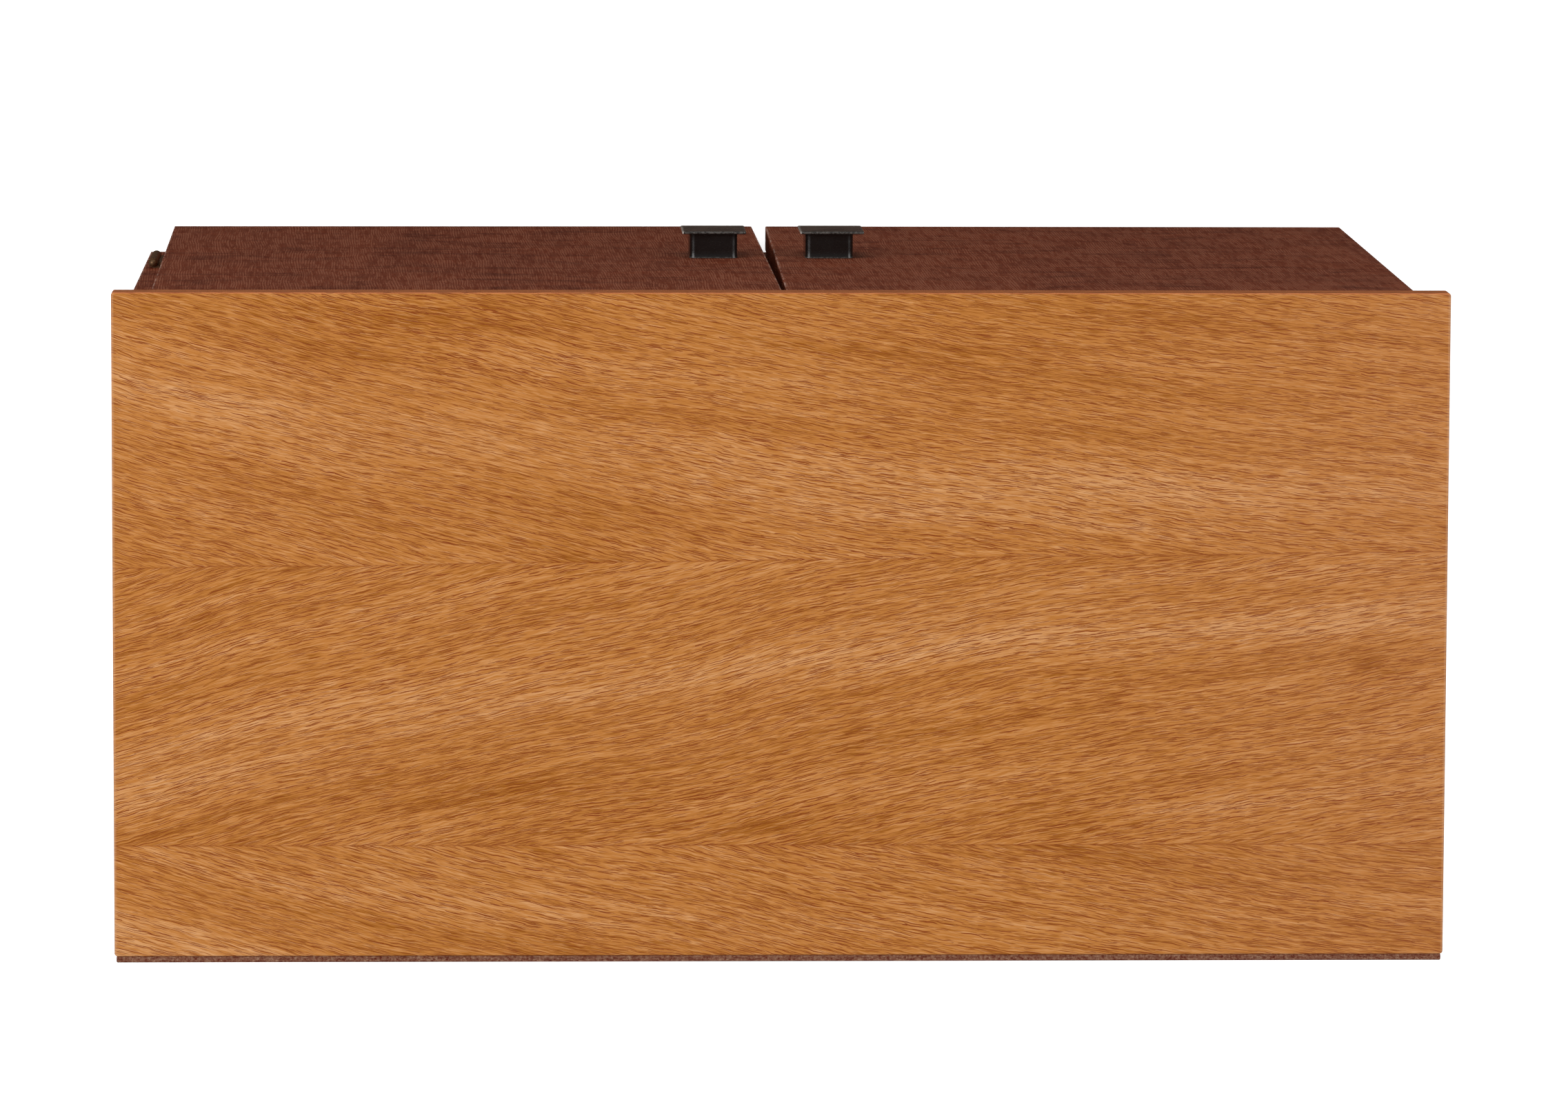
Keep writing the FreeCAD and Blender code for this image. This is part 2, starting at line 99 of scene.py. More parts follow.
class CabinetFinish(bpy.types.PropertyGroup):
    """Colours of the woods and the metals."""

    honey_dark: colour("Honey oak, dark", "Darker growth of the veneer", 156, 88, 12)
    honey_middle: colour("Honey oak", "Ground of the veneer", 196, 126, 58)
    honey_light: colour("Honey oak, light", "Palest growth of the veneer", 222, 163, 108)
    honey_pore: colour("Honey oak, pores", "Open pores of the veneer", 134, 52, 0)
    stain_ground: colour("Stained oak", "Dark red-brown stain", 148, 68, 38)
    stain_deep: colour("Stained oak, deep", "Stain where it lies thickest", 90, 30, 12)
    stain_pale: colour("Stained oak, pale", "Pores and flecks that took less stain", 176, 112, 86)
    edge: colour("Edge of the top", "Stained edge of the veneered board", 214, 132, 80)
    lipping: colour("Lipping", "Solid lipping along the back of the top", 122, 76, 56)
    oak_ground: colour("Plain oak", "Waxed oak of cases and runners", 214, 164, 110)
    oak_dark: colour("Plain oak, dark", "Late growth of the waxed oak", 182, 126, 76)
    oak_pore: colour("Plain oak, pores", "Pores of the waxed oak", 112, 74, 40)
    ply_ground: colour("Plywood", "Face veneer of the plywood", 224, 176, 126)
    ply_dark: colour("Plywood, dark", "Dark growth and glue lines", 186, 130, 84)
    enamel: colour("Enamel", "Black enamel of the handles", 17, 13, 12)
    # pale colour of rubbed enamel edges, also used as a painted highlight on the handle plates' right-hand
    # bevels
    enamel_wear_and_highlight: colour("Enamel, worn", "Enamel rubbed thin along its edges", 206, 198, 190)
    bronze: colour("Aged brass", "Brown skin of the old brass", 124, 92, 62)
    brass: colour("Bright brass", "Brass where it is rubbed bright", 198, 160, 92)
    steel: colour("Steel", "Zinc-plated steel", 176, 178, 182)
    plastic: colour("Catch plastic", "Dark brown plastic of the catches", 44, 38, 34)


class CabinetStudio(bpy.types.PropertyGroup):
    """The light and the floor."""

    key_power: FloatProperty(name="Key", description="Power of the large soft light on the right",
                             default=56.0, min=0.0, unit="POWER")
    fill_power: FloatProperty(name="Fill", description="Power of the soft light on the left", default=40.0,
                              min=0.0, unit="POWER")
    front_power: FloatProperty(name="Front", description="Power of the soft light before the doors",
                               default=20.0, min=0.0, unit="POWER")
    sky: FloatProperty(name="Surround", description="Strength of the even light all round",
                       default=0.34, min=0.0)
    floor: colour("Floor", "Pale floor", 250, 250, 250)
    floor_glow: FloatProperty(name="Floor glow", description="Even light that the floor itself gives",
                              default=0.68, min=0.0)


# Shader trees

SOCKETS = {"specular": "Specular IOR Level", "metallic": "Metallic", "coat_weight": "Coat Weight",
           "coat_roughness": "Coat Roughness"}


class Tree:
    """Adds nodes to one shader tree and joins them as they are made."""

    def __init__(self, tree):
        self.tree = tree

    def feed(self, socket, value):
        if isinstance(value, bpy.types.NodeSocket):
            self.tree.links.new(value, socket)
        else:
            socket.default_value = value

    def node(self, kind, inputs=None, **settings):
        made = self.tree.nodes.new(kind)
        for name, value in settings.items():
            setattr(made, name, value)
        for name, value in (inputs or {}).items():
            self.feed(made.inputs[name], value)
        return made

    def math(self, operation, *values):
        made = self.node("ShaderNodeMath", operation=operation)
        for socket, value in zip(made.inputs, values):
            self.feed(socket, value)
        return made.outputs[0]

    def times(self, first, second):
        return self.math("MULTIPLY", first, second)

    def minus(self, first, second):
        return self.math("SUBTRACT", first, second)

    def over(self, first, second):
        return self.math("DIVIDE", first, second)

    def swing(self, value, amount):
        """How far a value from 0 to 1 is from its middle, times the amount."""
        return self.times(self.minus(value, 0.5), amount)

    def total(self, *values):
        """The sum of several values."""
        result = values[0]
        for value in values[1:]:
            result = self.math("ADD", result, value)
        return result

    def smooth(self, value, low, high, start=0.0, end=1.0):
        """An S-shaped step from start to end as the value goes from low to high."""
        inputs = {"Value": value, "From Min": low, "From Max": high, "To Min": start, "To Max": end}
        return self.node("ShaderNodeMapRange", inputs, interpolation_type="SMOOTHSTEP").outputs[0]

    def vector(self, operation, *values):
        made = self.node("ShaderNodeVectorMath", operation=operation)
        for socket, value in zip(made.inputs, values):
            self.feed(socket, value)
        return made.outputs["Value" if operation in ("LENGTH", "DISTANCE", "DOT_PRODUCT") else "Vector"]

    def combine(self, x, y, z):
        return self.node("ShaderNodeCombineXYZ", {"X": x, "Y": y, "Z": z}).outputs[0]

    def parts(self, vector):
        return self.node("ShaderNodeSeparateXYZ", {"Vector": vector}).outputs

    def noise(self, vector, scale=1.0, detail=1.0, roughness=0.5, stretch=None):
        """Noise from 0 to 1. Stretch multiplies each part of the place first."""
        if stretch:
            vector = self.vector("MULTIPLY", vector, stretch)
        inputs = {"Vector": vector, "Scale": scale, "Detail": detail, "Roughness": roughness}
        return self.node("ShaderNodeTexNoise", inputs).outputs[0]

    def mix(self, factor, first, second, blend="MIX"):
        made = self.node("ShaderNodeMix", data_type="RGBA", blend_type=blend)
        self.feed(made.inputs[0], factor)
        self.feed(made.inputs[6], first)
        self.feed(made.inputs[7], second)
        return made.outputs[2]

    def blend(self, factor, first, second):
        """A value between two values."""
        made = self.node("ShaderNodeMix", data_type="FLOAT")
        self.feed(made.inputs[0], factor)
        self.feed(made.inputs[2], first)
        self.feed(made.inputs[3], second)
        return made.outputs[0]

    def place(self):
        """Where the surface is, in metres, and its three parts."""
        point = self.node("ShaderNodeTexCoord").outputs["Object"]
        return point, self.parts(point)

    def facing(self):
        """The three parts of the direction that the surface faces."""
        return self.parts(self.node("ShaderNodeNewGeometry").outputs["Normal"])

    def effect(self, name, **inputs):
        """One of the shared effects, with its inputs set."""
        made = self.node("ShaderNodeGroup")
        made.node_tree = bpy.data.node_groups[name]
        for socket, value in inputs.items():
            self.feed(made.inputs[socket.replace("_", " ").capitalize()], value)
        return made.outputs


def shared_effect(name, inputs, outputs):
    """An empty group: inputs are (name, kind, default), outputs are (name, kind)."""
    group = bpy.data.node_groups.new(name, "ShaderNodeTree")
    for label, kind, default in inputs:
        socket = group.interface.new_socket(label, in_out="INPUT", socket_type=f"NodeSocket{kind}")
        socket.default_value = default
    for label, kind in outputs:
        group.interface.new_socket(label, in_out="OUTPUT", socket_type=f"NodeSocket{kind}")
    tree = Tree(group)
    return tree, group.nodes.new("NodeGroupInput").outputs, group.nodes.new("NodeGroupOutput").inputs


def pore_strokes():
    """Open pores: one long thin ellipsoid about the feature point of each cell of a drawn-out Voronoi.

    Grain is the place along the grain, across it and into the wood. Length and Width are a cell's size.
    Rows is a mask from 0 to 1 of where pores lie thick, and Amount the share of cells that have one.
    Strokes is 1 in a pore; Fibre is a fine light and dark that runs the same way.
    """
    tree, given, out = shared_effect(
        "Pore strokes",
        [("Grain", "Vector", (0, 0, 0)), ("Length", "Float", 0.012), ("Width", "Float", 0.002),
         ("Slimness", "Float", 0.17), ("Rows", "Float", 0.5), ("Amount", "Float", 0.5)],
        [("Strokes", "Float"), ("Fibre", "Float")])
    along, across, depth = tree.parts(given["Grain"])
    wander = tree.noise(given["Grain"], stretch=(34.0, 110.0, 110.0), detail=1.0)
    shift = tree.swing(wander, 0.0036)
    wriggle = tree.noise(given["Grain"], stretch=(150.0, 240.0, 240.0), detail=0.0)
    shift = tree.total(shift, tree.swing(wriggle, 0.0011))
    drawn = tree.combine(tree.over(along, given["Length"]),
                         tree.over(tree.total(across, shift), given["Width"]),
                         tree.over(depth, given["Width"]))
    cells = tree.node("ShaderNodeTexVoronoi", {"Vector": drawn, "Scale": 1.0}, feature="F1").outputs
    from_point = tree.vector("SUBTRACT", drawn, cells["Position"])
    reach = tree.vector("DIVIDE", from_point, tree.combine(0.62, given["Slimness"], 0.75))
    square = tree.vector("DOT_PRODUCT", reach, reach)
    chance, thickness, _ = tree.parts(cells["Color"])
    square = tree.over(square, tree.total(0.45, tree.times(thickness, 0.9)))
    wanted = tree.total(given["Amount"], tree.swing(given["Rows"], 0.9))
    there = tree.math("LESS_THAN", chance, wanted)
    tree.feed(out["Strokes"], tree.times(tree.smooth(square, 1.1, 0.5), there))
    fine = tree.vector("MULTIPLY", drawn, (0.8, 2.3, 2.3))
    tree.feed(out["Fibre"], tree.noise(fine, detail=2.0, roughness=0.6))


def growth_rings():
    """Rings cut by a board: distance from a pith line that leans away from the board, split by the spacing.

    Where the lean is small the rings run straight; where it is larger they close into long arches.
    Early is 1 in the porous part of a ring, Tone drifts slowly from dark to pale.
    """
    tree, given, out = shared_effect(
        "Growth rings",
        [("Grain", "Vector", (0, 0, 0)), ("Spacing", "Float", 0.004), ("Pith", "Float", 0.05),
         ("Lean", "Float", 0.1)],
        [("Early", "Float"), ("Tone", "Float")])
    along, across, depth = tree.parts(given["Grain"])
    sway = tree.noise(given["Grain"], stretch=(2.2, 9.0, 9.0), detail=2.0)
    sway = tree.swing(sway, 0.05)
    away = tree.total(depth, given["Pith"], tree.times(along, given["Lean"]), sway)
    across = tree.total(across, tree.times(sway, 0.6))
    reach = tree.math("SQRT", tree.total(tree.math("POWER", across, 2.0), tree.math("POWER", away, 2.0)))
    ring = tree.over(reach, given["Spacing"])
    share = tree.math("FRACT", ring)
    early = tree.times(tree.smooth(share, 0.0, 0.14), tree.smooth(share, 0.62, 0.4))
    tree.feed(out["Early"], early)
    slow = tree.combine(tree.times(along, 1.5), tree.times(ring, 0.22), 0.0)
    tree.feed(out["Tone"], tree.noise(slow, detail=2.0, roughness=0.6))


def matched_leaves():
    """Three leaves of veneer, each the mirror image of its neighbour across a seam.

    Run is the distance from the right-hand end. The distance from the first seam, folded back at the second,
    gives the place within a leaf; adding the slope of the grain, which eases off along the run, gives the
    line of growth that a point lies on. The fibres climb through the growth a little more steeply.
    """
    tree, given, out = shared_effect(
        "Matched leaves",
        [("Vector", "Vector", (0, 0, 0)), ("Right", "Float", 0.45), ("Front", "Float", -0.216)],
        [("Grain", "Vector"), ("Fibre", "Vector"), ("Seam", "Float")])
    x, y, _ = tree.parts(given["Vector"])
    run = tree.minus(given["Right"], x)
    deep = tree.minus(y, given["Front"])
    ripple = tree.noise(tree.combine(tree.times(run, 9.0), 3.0, 0.0), detail=1.0)
    ripple = tree.swing(ripple, 0.003)
    first = tree.total(0.186, tree.times(run, -0.0122), ripple)
    second = 0.3746
    past = tree.minus(deep, first)
    width = tree.minus(second, first)
    folded = tree.math("PINGPONG", past, width)
    middle = tree.math("GREATER_THAN", past, 0.0)
    last = tree.math("GREATER_THAN", deep, second)
    leaf = tree.total(middle, last)
    only_middle = tree.minus(middle, last)
    fade = tree.math("EXPONENT", tree.times(run, -1 / 0.35))
    slope = tree.times(tree.minus(1.0, fade), 0.0825)
    slope = tree.total(slope, tree.times(run, 0.022))
    bend = tree.noise(tree.combine(tree.times(run, 3.6), tree.times(folded, 7.0), leaf), detail=1.0)
    bend = tree.swing(bend, 0.026)
    line = tree.total(folded, slope, bend, tree.times(only_middle, -0.013))
    apart = tree.times(leaf, 0.37)
    tree.feed(out["Grain"], tree.combine(run, line, apart))
    steeper = tree.times(run, tree.minus(0.28, tree.times(run, 0.1)))
    tree.feed(out["Fibre"], tree.combine(run, tree.total(folded, steeper, bend), apart))
    near = tree.math("MINIMUM", tree.math("ABSOLUTE", past), tree.math("ABSOLUTE", tree.minus(deep, second)))
    tree.feed(out["Seam"], tree.smooth(near, 0.0007, 0.0002))


def arris_highlight_mask():
    """A mask for the pale painted highlight along the arrises of a board: of the three distances to its box,
    the second smallest is the distance from the nearest arris, and the mask falls off over Width, broken up
    by noise."""
    tree, given, out = shared_effect(
        "Edge wear",
        [("Vector", "Vector", (0, 0, 0)), ("Low", "Vector", (0, 0, 0)), ("High", "Vector", (1, 1, 1)),
         ("Width", "Float", 0.002), ("Broken", "Float", 0.5)],
        [("Mask", "Float")])
    below = tree.vector("SUBTRACT", given["Vector"], given["Low"])
    above = tree.vector("SUBTRACT", given["High"], given["Vector"])
    x, y, z = tree.parts(tree.vector("MINIMUM", below, above))
    pair = tree.math("MINIMUM", tree.math("MAXIMUM", x, y), z)
    second = tree.math("MAXIMUM", tree.math("MINIMUM", x, y), pair)
    falls = tree.smooth(second, given["Width"], tree.times(given["Width"], 0.25))
    patches = tree.noise(given["Vector"], scale=75.0, detail=3.0, roughness=0.65)
    patches = tree.smooth(patches, tree.times(given["Broken"], 0.9), 0.62)
    tree.feed(out["Mask"], tree.times(falls, patches))


def handling():
    """Marks of use. Smudge is large soft patches; Scratch is the thin line where a slow noise crosses its
    middle value, kept only here and there; Dust is fine specks."""
    tree, given, out = shared_effect(
        "Handling",
        [("Vector", "Vector", (0, 0, 0)), ("Size", "Float", 0.2)],
        [("Smudge", "Float"), ("Scratch", "Float"), ("Dust", "Float")])
    scaled = tree.vector("DIVIDE", given["Vector"], tree.combine(given["Size"], given["Size"], given["Size"]))
    tree.feed(out["Smudge"], tree.noise(scaled, detail=3.0, roughness=0.55))
    slow = tree.noise(tree.vector("ADD", scaled, (7.3, 1.9, 4.1)), scale=1.4, detail=0.0)
    line = tree.smooth(tree.math("ABSOLUTE", tree.minus(slow, 0.5)), 0.0022, 0.0008)
    where = tree.smooth(tree.noise(scaled, scale=1.9, detail=1.0), 0.5, 0.62)
    tree.feed(out["Scratch"], tree.times(line, where))
    specks = tree.noise(given["Vector"], scale=1900.0, detail=0.0)
    tree.feed(out["Dust"], tree.smooth(specks, 0.72, 0.78))


def effects():
    """Makes the shared effects once."""
    for make in (pore_strokes, growth_rings, matched_leaves, arris_highlight_mask, handling):
        make()


def finish_for(name):
    """A new material's tree and its Principled shader."""
    material = bpy.data.materials.new(name)
    material.use_nodes = True
    tree = Tree(material.node_tree)
    return material, tree, material.node_tree.nodes["Principled BSDF"]


def coat(tree, shader, body, roughness, height, depth, strength, **constants):
    """Feeds a shader its colour, roughness and relief. Constants are sockets that are the same all over."""
    tree.feed(shader.inputs["Base Color"], body)
    tree.feed(shader.inputs["Roughness"], roughness)
    relief = tree.node("ShaderNodeBump", {"Height": height, "Distance": depth, "Strength": strength})
    tree.feed(shader.inputs["Normal"], relief.outputs[0])
    for name, value in constants.items():
        shader.inputs[SOCKETS[name]].default_value = value


def dress(objects, material):
    """Puts a material in every slot of each object."""
    for thing in objects:
        if not thing.material_slots:
            thing.data.materials.append(material)
        for slot in thing.material_slots:
            slot.material = material


def nodes_named(*names):
    return [frame["nodes"][name] for name in names]


def patch(tree, x, y, centre, reach):
    """A soft round patch, 1 at its centre and 0 past its reach, on the two given places."""
    across = tree.over(tree.minus(x, centre[0]), reach[0])
    along = tree.over(tree.minus(y, centre[1]), reach[1])
    square = tree.total(tree.times(across, across), tree.times(along, along))
    return tree.math("EXPONENT", tree.times(square, -1.0))


def honey_oak(colours):
    """Book-matched oak veneer under satin lacquer, with the board's stained edges."""
    material, tree, shader = finish_for("Honey oak veneer")
    point, (x, y, z) = tree.place()
    leaves = tree.effect("Matched leaves", vector=point, right=TOP_HIGH.x, front=TOP_LOW.y)
    grain = leaves["Grain"]
    fibre = leaves["Fibre"]
    run, line, _ = tree.parts(grain)
    deep = tree.minus(y, TOP_LOW.y)

    rows = tree.noise(fibre, stretch=(6.0, 260.0, 30.0), detail=1.0, roughness=0.4)
    rows = tree.smooth(rows, 0.32, 0.62)
    pores = tree.effect("Pore strokes", grain=fibre, length=0.0140, width=0.0018, slimness=0.14,
                        rows=rows, amount=0.78)
    second = tree.effect("Pore strokes", grain=tree.vector("ADD", fibre, (0.31, 0.17, 0.05)),
                         length=0.0080, width=0.0014, slimness=0.16, rows=rows, amount=0.62)
    # pale short threads between the pores
    threads = tree.effect("Pore strokes", grain=tree.vector("ADD", fibre, (0.13, 0.29, 0.02)),
                          length=0.0110, width=0.0022, slimness=0.2, rows=tree.minus(1.0, rows), amount=0.55)

    # pale and dark growth
    slow = tree.noise(grain, stretch=(2.4, 30.0, 11.0), detail=2.0, roughness=0.55)
    stripes = tree.noise(fibre, stretch=(5.0, 130.0, 23.0), detail=2.0, roughness=0.5)
    off = tree.over(tree.minus(line, 0.128), 0.02)
    pale_band = tree.math("EXPONENT", tree.times(tree.times(off, off), -1.0))
    tone = tree.total(0.44,
                      tree.swing(slow, 0.7),
                      tree.swing(stripes, 0.45),
                      tree.swing(pores["Fibre"], 1.6),
                      tree.times(pale_band, 0.2))
    smudges = (((0.20, 0.022), (0.09, 0.022), -0.22), ((0.28, 0.340), (0.10, 0.026), -0.2),
               ((0.45, 0.362), (0.07, 0.018), -0.2), ((0.65, 0.362), (0.06, 0.016), -0.2),
               ((0.846, 0.252), (0.012, 0.009), -0.3), ((0.315, 0.18), (0.03, 0.02), -0.12))
    for centre, reach, depth in smudges:
        tone = tree.total(tone, tree.times(patch(tree, run, deep, centre, reach), depth))
    low = tree.mix(tree.smooth(tone, 0.0, 0.5), colours.honey_dark, colours.honey_middle)
    ground = tree.mix(tree.smooth(tone, 0.45, 1.0), low, colours.honey_light)
    ground = tree.mix(tree.times(threads["Strokes"], 0.35), ground, colours.honey_light)
    strokes = tree.math("MAXIMUM", pores["Strokes"], tree.times(second["Strokes"], 0.7))
    depth_of = tree.blend(tree.smooth(slow, 0.3, 0.7), 0.8, 1.0)
    face = tree.mix(tree.times(strokes, depth_of), ground, colours.honey_pore)
    face = tree.mix(tree.times(leaves["Seam"], 0.35), face, colours.honey_pore)
    # redder towards the left end
    face = tree.mix(tree.smooth(run, 0.6, 0.95, 0.0, 0.12), face, tint(176, 112, 84))

    # the stained edges of the board, with a darker line where the veneer ends
    cut = tree.effect("Pore strokes", grain=tree.combine(x, z, y), length=0.02, width=0.0016, slimness=0.2,
                      rows=0.5, amount=0.6)
    edge = tree.mix(tree.smooth(cut["Fibre"], 0.35, 0.85), colours.edge, colours.stain_ground)
    edge = tree.mix(tree.times(cut["Strokes"], 0.5), edge, colours.stain_deep)
    glue_line = tree.times(tree.smooth(z, TOP_HIGH.z - 0.0026, TOP_HIGH.z - 0.0022),
                          tree.smooth(z, TOP_HIGH.z - 0.0012, TOP_HIGH.z - 0.0018))
    edge = tree.mix(tree.times(glue_line, 0.6), edge, colours.stain_deep)
    ahead = tree.smooth(y, TOP_LOW.y + 0.0009, TOP_LOW.y + 0.0006)
    sides = tree.smooth(z, TOP_HIGH.z - 0.0004, TOP_HIGH.z - 0.0008)
    edges = tree.math("MAXIMUM", ahead, sides)
    rim = tree.math("MINIMUM", tree.minus(x, TOP_LOW.x), tree.minus(TOP_HIGH.x, x))
    face = tree.mix(tree.smooth(rim, 0.0022, 0.0008, 0.0, 0.35), face, tint(214, 164, 122))
    marks = tree.effect("Handling", vector=point, size=0.16)
    gloss = tree.total(0.42, tree.times(marks["Smudge"], 0.16), tree.times(strokes, 0.12))
    height = tree.minus(tree.times(pores["Fibre"], 0.3), strokes)
    coat(tree, shader, tree.mix(edges, face, edge), gloss, height, 0.00012, 0.8, specular=0.2)
    return material


def lipping_wood(colours):
    """The solid strip along the back of the top: dark, open-grained, with pale and dark specks."""
    material, tree, shader = finish_for("Stained lipping")
    point, _ = tree.place()
    specks = tree.noise(point, scale=640.0, detail=2.0, roughness=0.7)
    pores = tree.effect("Pore strokes", grain=point, length=0.006, width=0.0015, slimness=0.22, rows=0.5,
                        amount=0.6)
    # darker than the veneer, along the back edge of the top
    body = tree.mix(tree.smooth(specks, 0.46, 0.74), colours.lipping, tint(158, 122, 98))
    body = tree.mix(tree.smooth(specks, 0.47, 0.32), body, colours.stain_deep)
    body = tree.mix(tree.times(pores["Strokes"], 0.6), body, colours.stain_deep)
    coat(tree, shader, body, tree.smooth(specks, 0.3, 0.7, 0.5, 0.66), tree.minus(specks, pores["Strokes"]),
         0.00015, 0.7, specular=0.16)
    return material


def own_box(node, angle):
    """A board's box in its own axes: the lowest and highest of its points, turned back by the angle."""
    mesh = frame["nodes"][node].data
    points = np.zeros(3 * len(mesh.vertices))
    mesh.vertices.foreach_get("co", points)
    level = points.reshape(-1, 3) @ np.array(Matrix.Rotation(angle, 3, "Y")).T
    return level.min(axis=0).tolist(), level.max(axis=0).tolist()


def stained_oak(name, colours, order, low, high, angle):
    """Dark stained oak. Order is the axis of the grain, then the axis across the board's face and the one
    through it, 0 to 2. Low and high give the board's box, for the pale highlight painted along its arrises,
    after a turn about Y by the angle has set the board level."""
    material, tree, shader = finish_for(name)
    point, parts = tree.place()
    level = tree.node("ShaderNodeMapping", {"Vector": point, "Rotation": (0, angle, 0)}).outputs[0]
    grain_parts = [parts[axis] for axis in order]
    grain = tree.combine(*grain_parts)
    rings = tree.effect("Growth rings", grain=grain, spacing=0.0075, pith=0.12, lean=0.11)
    slanted = tree.combine(grain_parts[0], tree.total(grain_parts[1], tree.times(grain_parts[0], 0.028)),
                           grain_parts[2])
    pores = tree.effect("Pore strokes", grain=slanted, length=0.034, width=0.0022, slimness=0.2,
                        rows=rings["Early"], amount=0.75)
    # close straight stripes: light and dark by turns, broken up along their length
    sway = tree.noise(slanted, stretch=(9.0, 26.0, 26.0), detail=1.0)
    _, across, depth = tree.parts(slanted)
    stripe = tree.total(across, depth, tree.times(sway, 0.008))
    stripe = tree.math("PINGPONG", tree.over(stripe, 0.0018), 0.5)
    broken = tree.noise(slanted, stretch=(30.0, 260.0, 260.0), detail=1.0)
    stripe = tree.times(tree.smooth(stripe, 0.14, 0.4), tree.smooth(broken, 0.38, 0.58))
    # wavy dark lines across them, where a slow drawn-out noise passes its middle value
    figure = tree.noise(slanted, stretch=(17.0, 5.0, 5.0), detail=2.0, roughness=0.55)
    waves = tree.smooth(tree.math("ABSOLUTE", tree.minus(figure, 0.5)), 0.03, 0.006)
    cross = tree.noise(slanted, stretch=(60.0, 14.0, 14.0), detail=2.0, roughness=0.55)
    streak = tree.noise(grain, stretch=(3.0, 11.0, 11.0), detail=3.0, roughness=0.6)
    deep = tree.total(tree.swing(rings["Tone"], 0.5),
                      tree.swing(streak, 0.4),
                      tree.swing(cross, 0.8),
                      tree.times(waves, 0.2), 0.38)
    ground = tree.mix(tree.smooth(deep, 0.1, 0.9), colours.stain_ground, colours.stain_deep)
    ground = tree.mix(tree.smooth(stripe, 0.5, 0.0, 0.0, 0.3), ground, colours.stain_deep)
    ground = tree.mix(tree.times(stripe, tree.smooth(deep, 0.8, 0.3, 0.2, 0.68)), ground, colours.stain_pale)
    pale = tree.times(pores["Strokes"], tree.smooth(cross, 0.68, 0.38, 0.1, 0.55))
    ground = tree.mix(pale, ground, colours.stain_pale)
    fibre = tree.smooth(pores["Fibre"], 0.35, 0.65)
    ground = tree.mix(tree.times(fibre, 0.2), ground, colours.stain_pale)
    marks = tree.effect("Handling", vector=point, size=0.11)
    ground = tree.mix(tree.times(marks["Scratch"], 0.4), ground, colours.stain_pale)
    # a pale painted highlight along every arris, standing in for the light that the eased edges catch
    arris_highlight = tree.effect("Edge wear", vector=level, low=low, high=high, width=0.0016, broken=0.45)
    ground = tree.mix(tree.times(arris_highlight["Mask"], 0.75), ground, tint(206, 170, 154))
    gloss = tree.total(0.4, tree.times(marks["Smudge"], 0.2), tree.times(pores["Strokes"], 0.1))
    height = tree.minus(tree.times(pores["Fibre"], 0.4), pores["Strokes"])
    coat(tree, shader, ground, gloss, height, 0.00022, 0.8, specular=0.16)
    return material


def plain_oak(name, colours, kind):
    """Waxed oak. Kind says which way the grain runs: runners along Y, frames along each rail, dividers along
    each slat."""
    material, tree, shader = finish_for(name)
    point, (x, y, z) = tree.place()
    endways = tree.combine(x, y, z)
    sideways = tree.combine(y, x, z)
    if kind == "runner":
        turned = 1.0
    elif kind == "frame":
        turned = tree.math("GREATER_THAN", tree.math("ABSOLUTE", x), 0.413)
    else:
        across, deep, _ = tree.facing()
        turned = tree.math("GREATER_THAN", tree.math("ABSOLUTE", across), tree.math("ABSOLUTE", deep))
    made = tree.node("ShaderNodeMix", data_type="VECTOR")
    tree.feed(made.inputs[0], turned)
    tree.feed(made.inputs[4], endways)
    tree.feed(made.inputs[5], sideways)
    grain = made.outputs[1]
    rings = tree.effect("Growth rings", grain=grain, spacing=0.0042, pith=0.05, lean=0.05)
    pores = tree.effect("Pore strokes", grain=grain, length=0.014, width=0.0014, slimness=0.17,
                        rows=rings["Early"], amount=0.45)
    ground = tree.mix(tree.smooth(rings["Tone"], 0.3, 0.75), colours.oak_ground, colours.oak_dark)
    ground = tree.mix(tree.times(rings["Early"], 0.3), ground, colours.oak_dark)
    ground = tree.mix(tree.times(pores["Strokes"], 0.7), ground, colours.oak_pore)
    # ink and lead rubbed in by years of setting, in soft patches here and there
    marks = tree.effect("Handling", vector=point, size=0.05)
    ground = tree.mix(tree.smooth(marks["Smudge"], 0.55, 0.85, 0.0, 0.35), ground, tint(104, 80, 60))
    height = tree.minus(tree.times(pores["Fibre"], 0.5), pores["Strokes"])
    coat(tree, shader, ground, tree.smooth(marks["Smudge"], 0.2, 0.8, 0.48, 0.66), height, 0.0001, 0.8,
         specular=0.35)
    return material


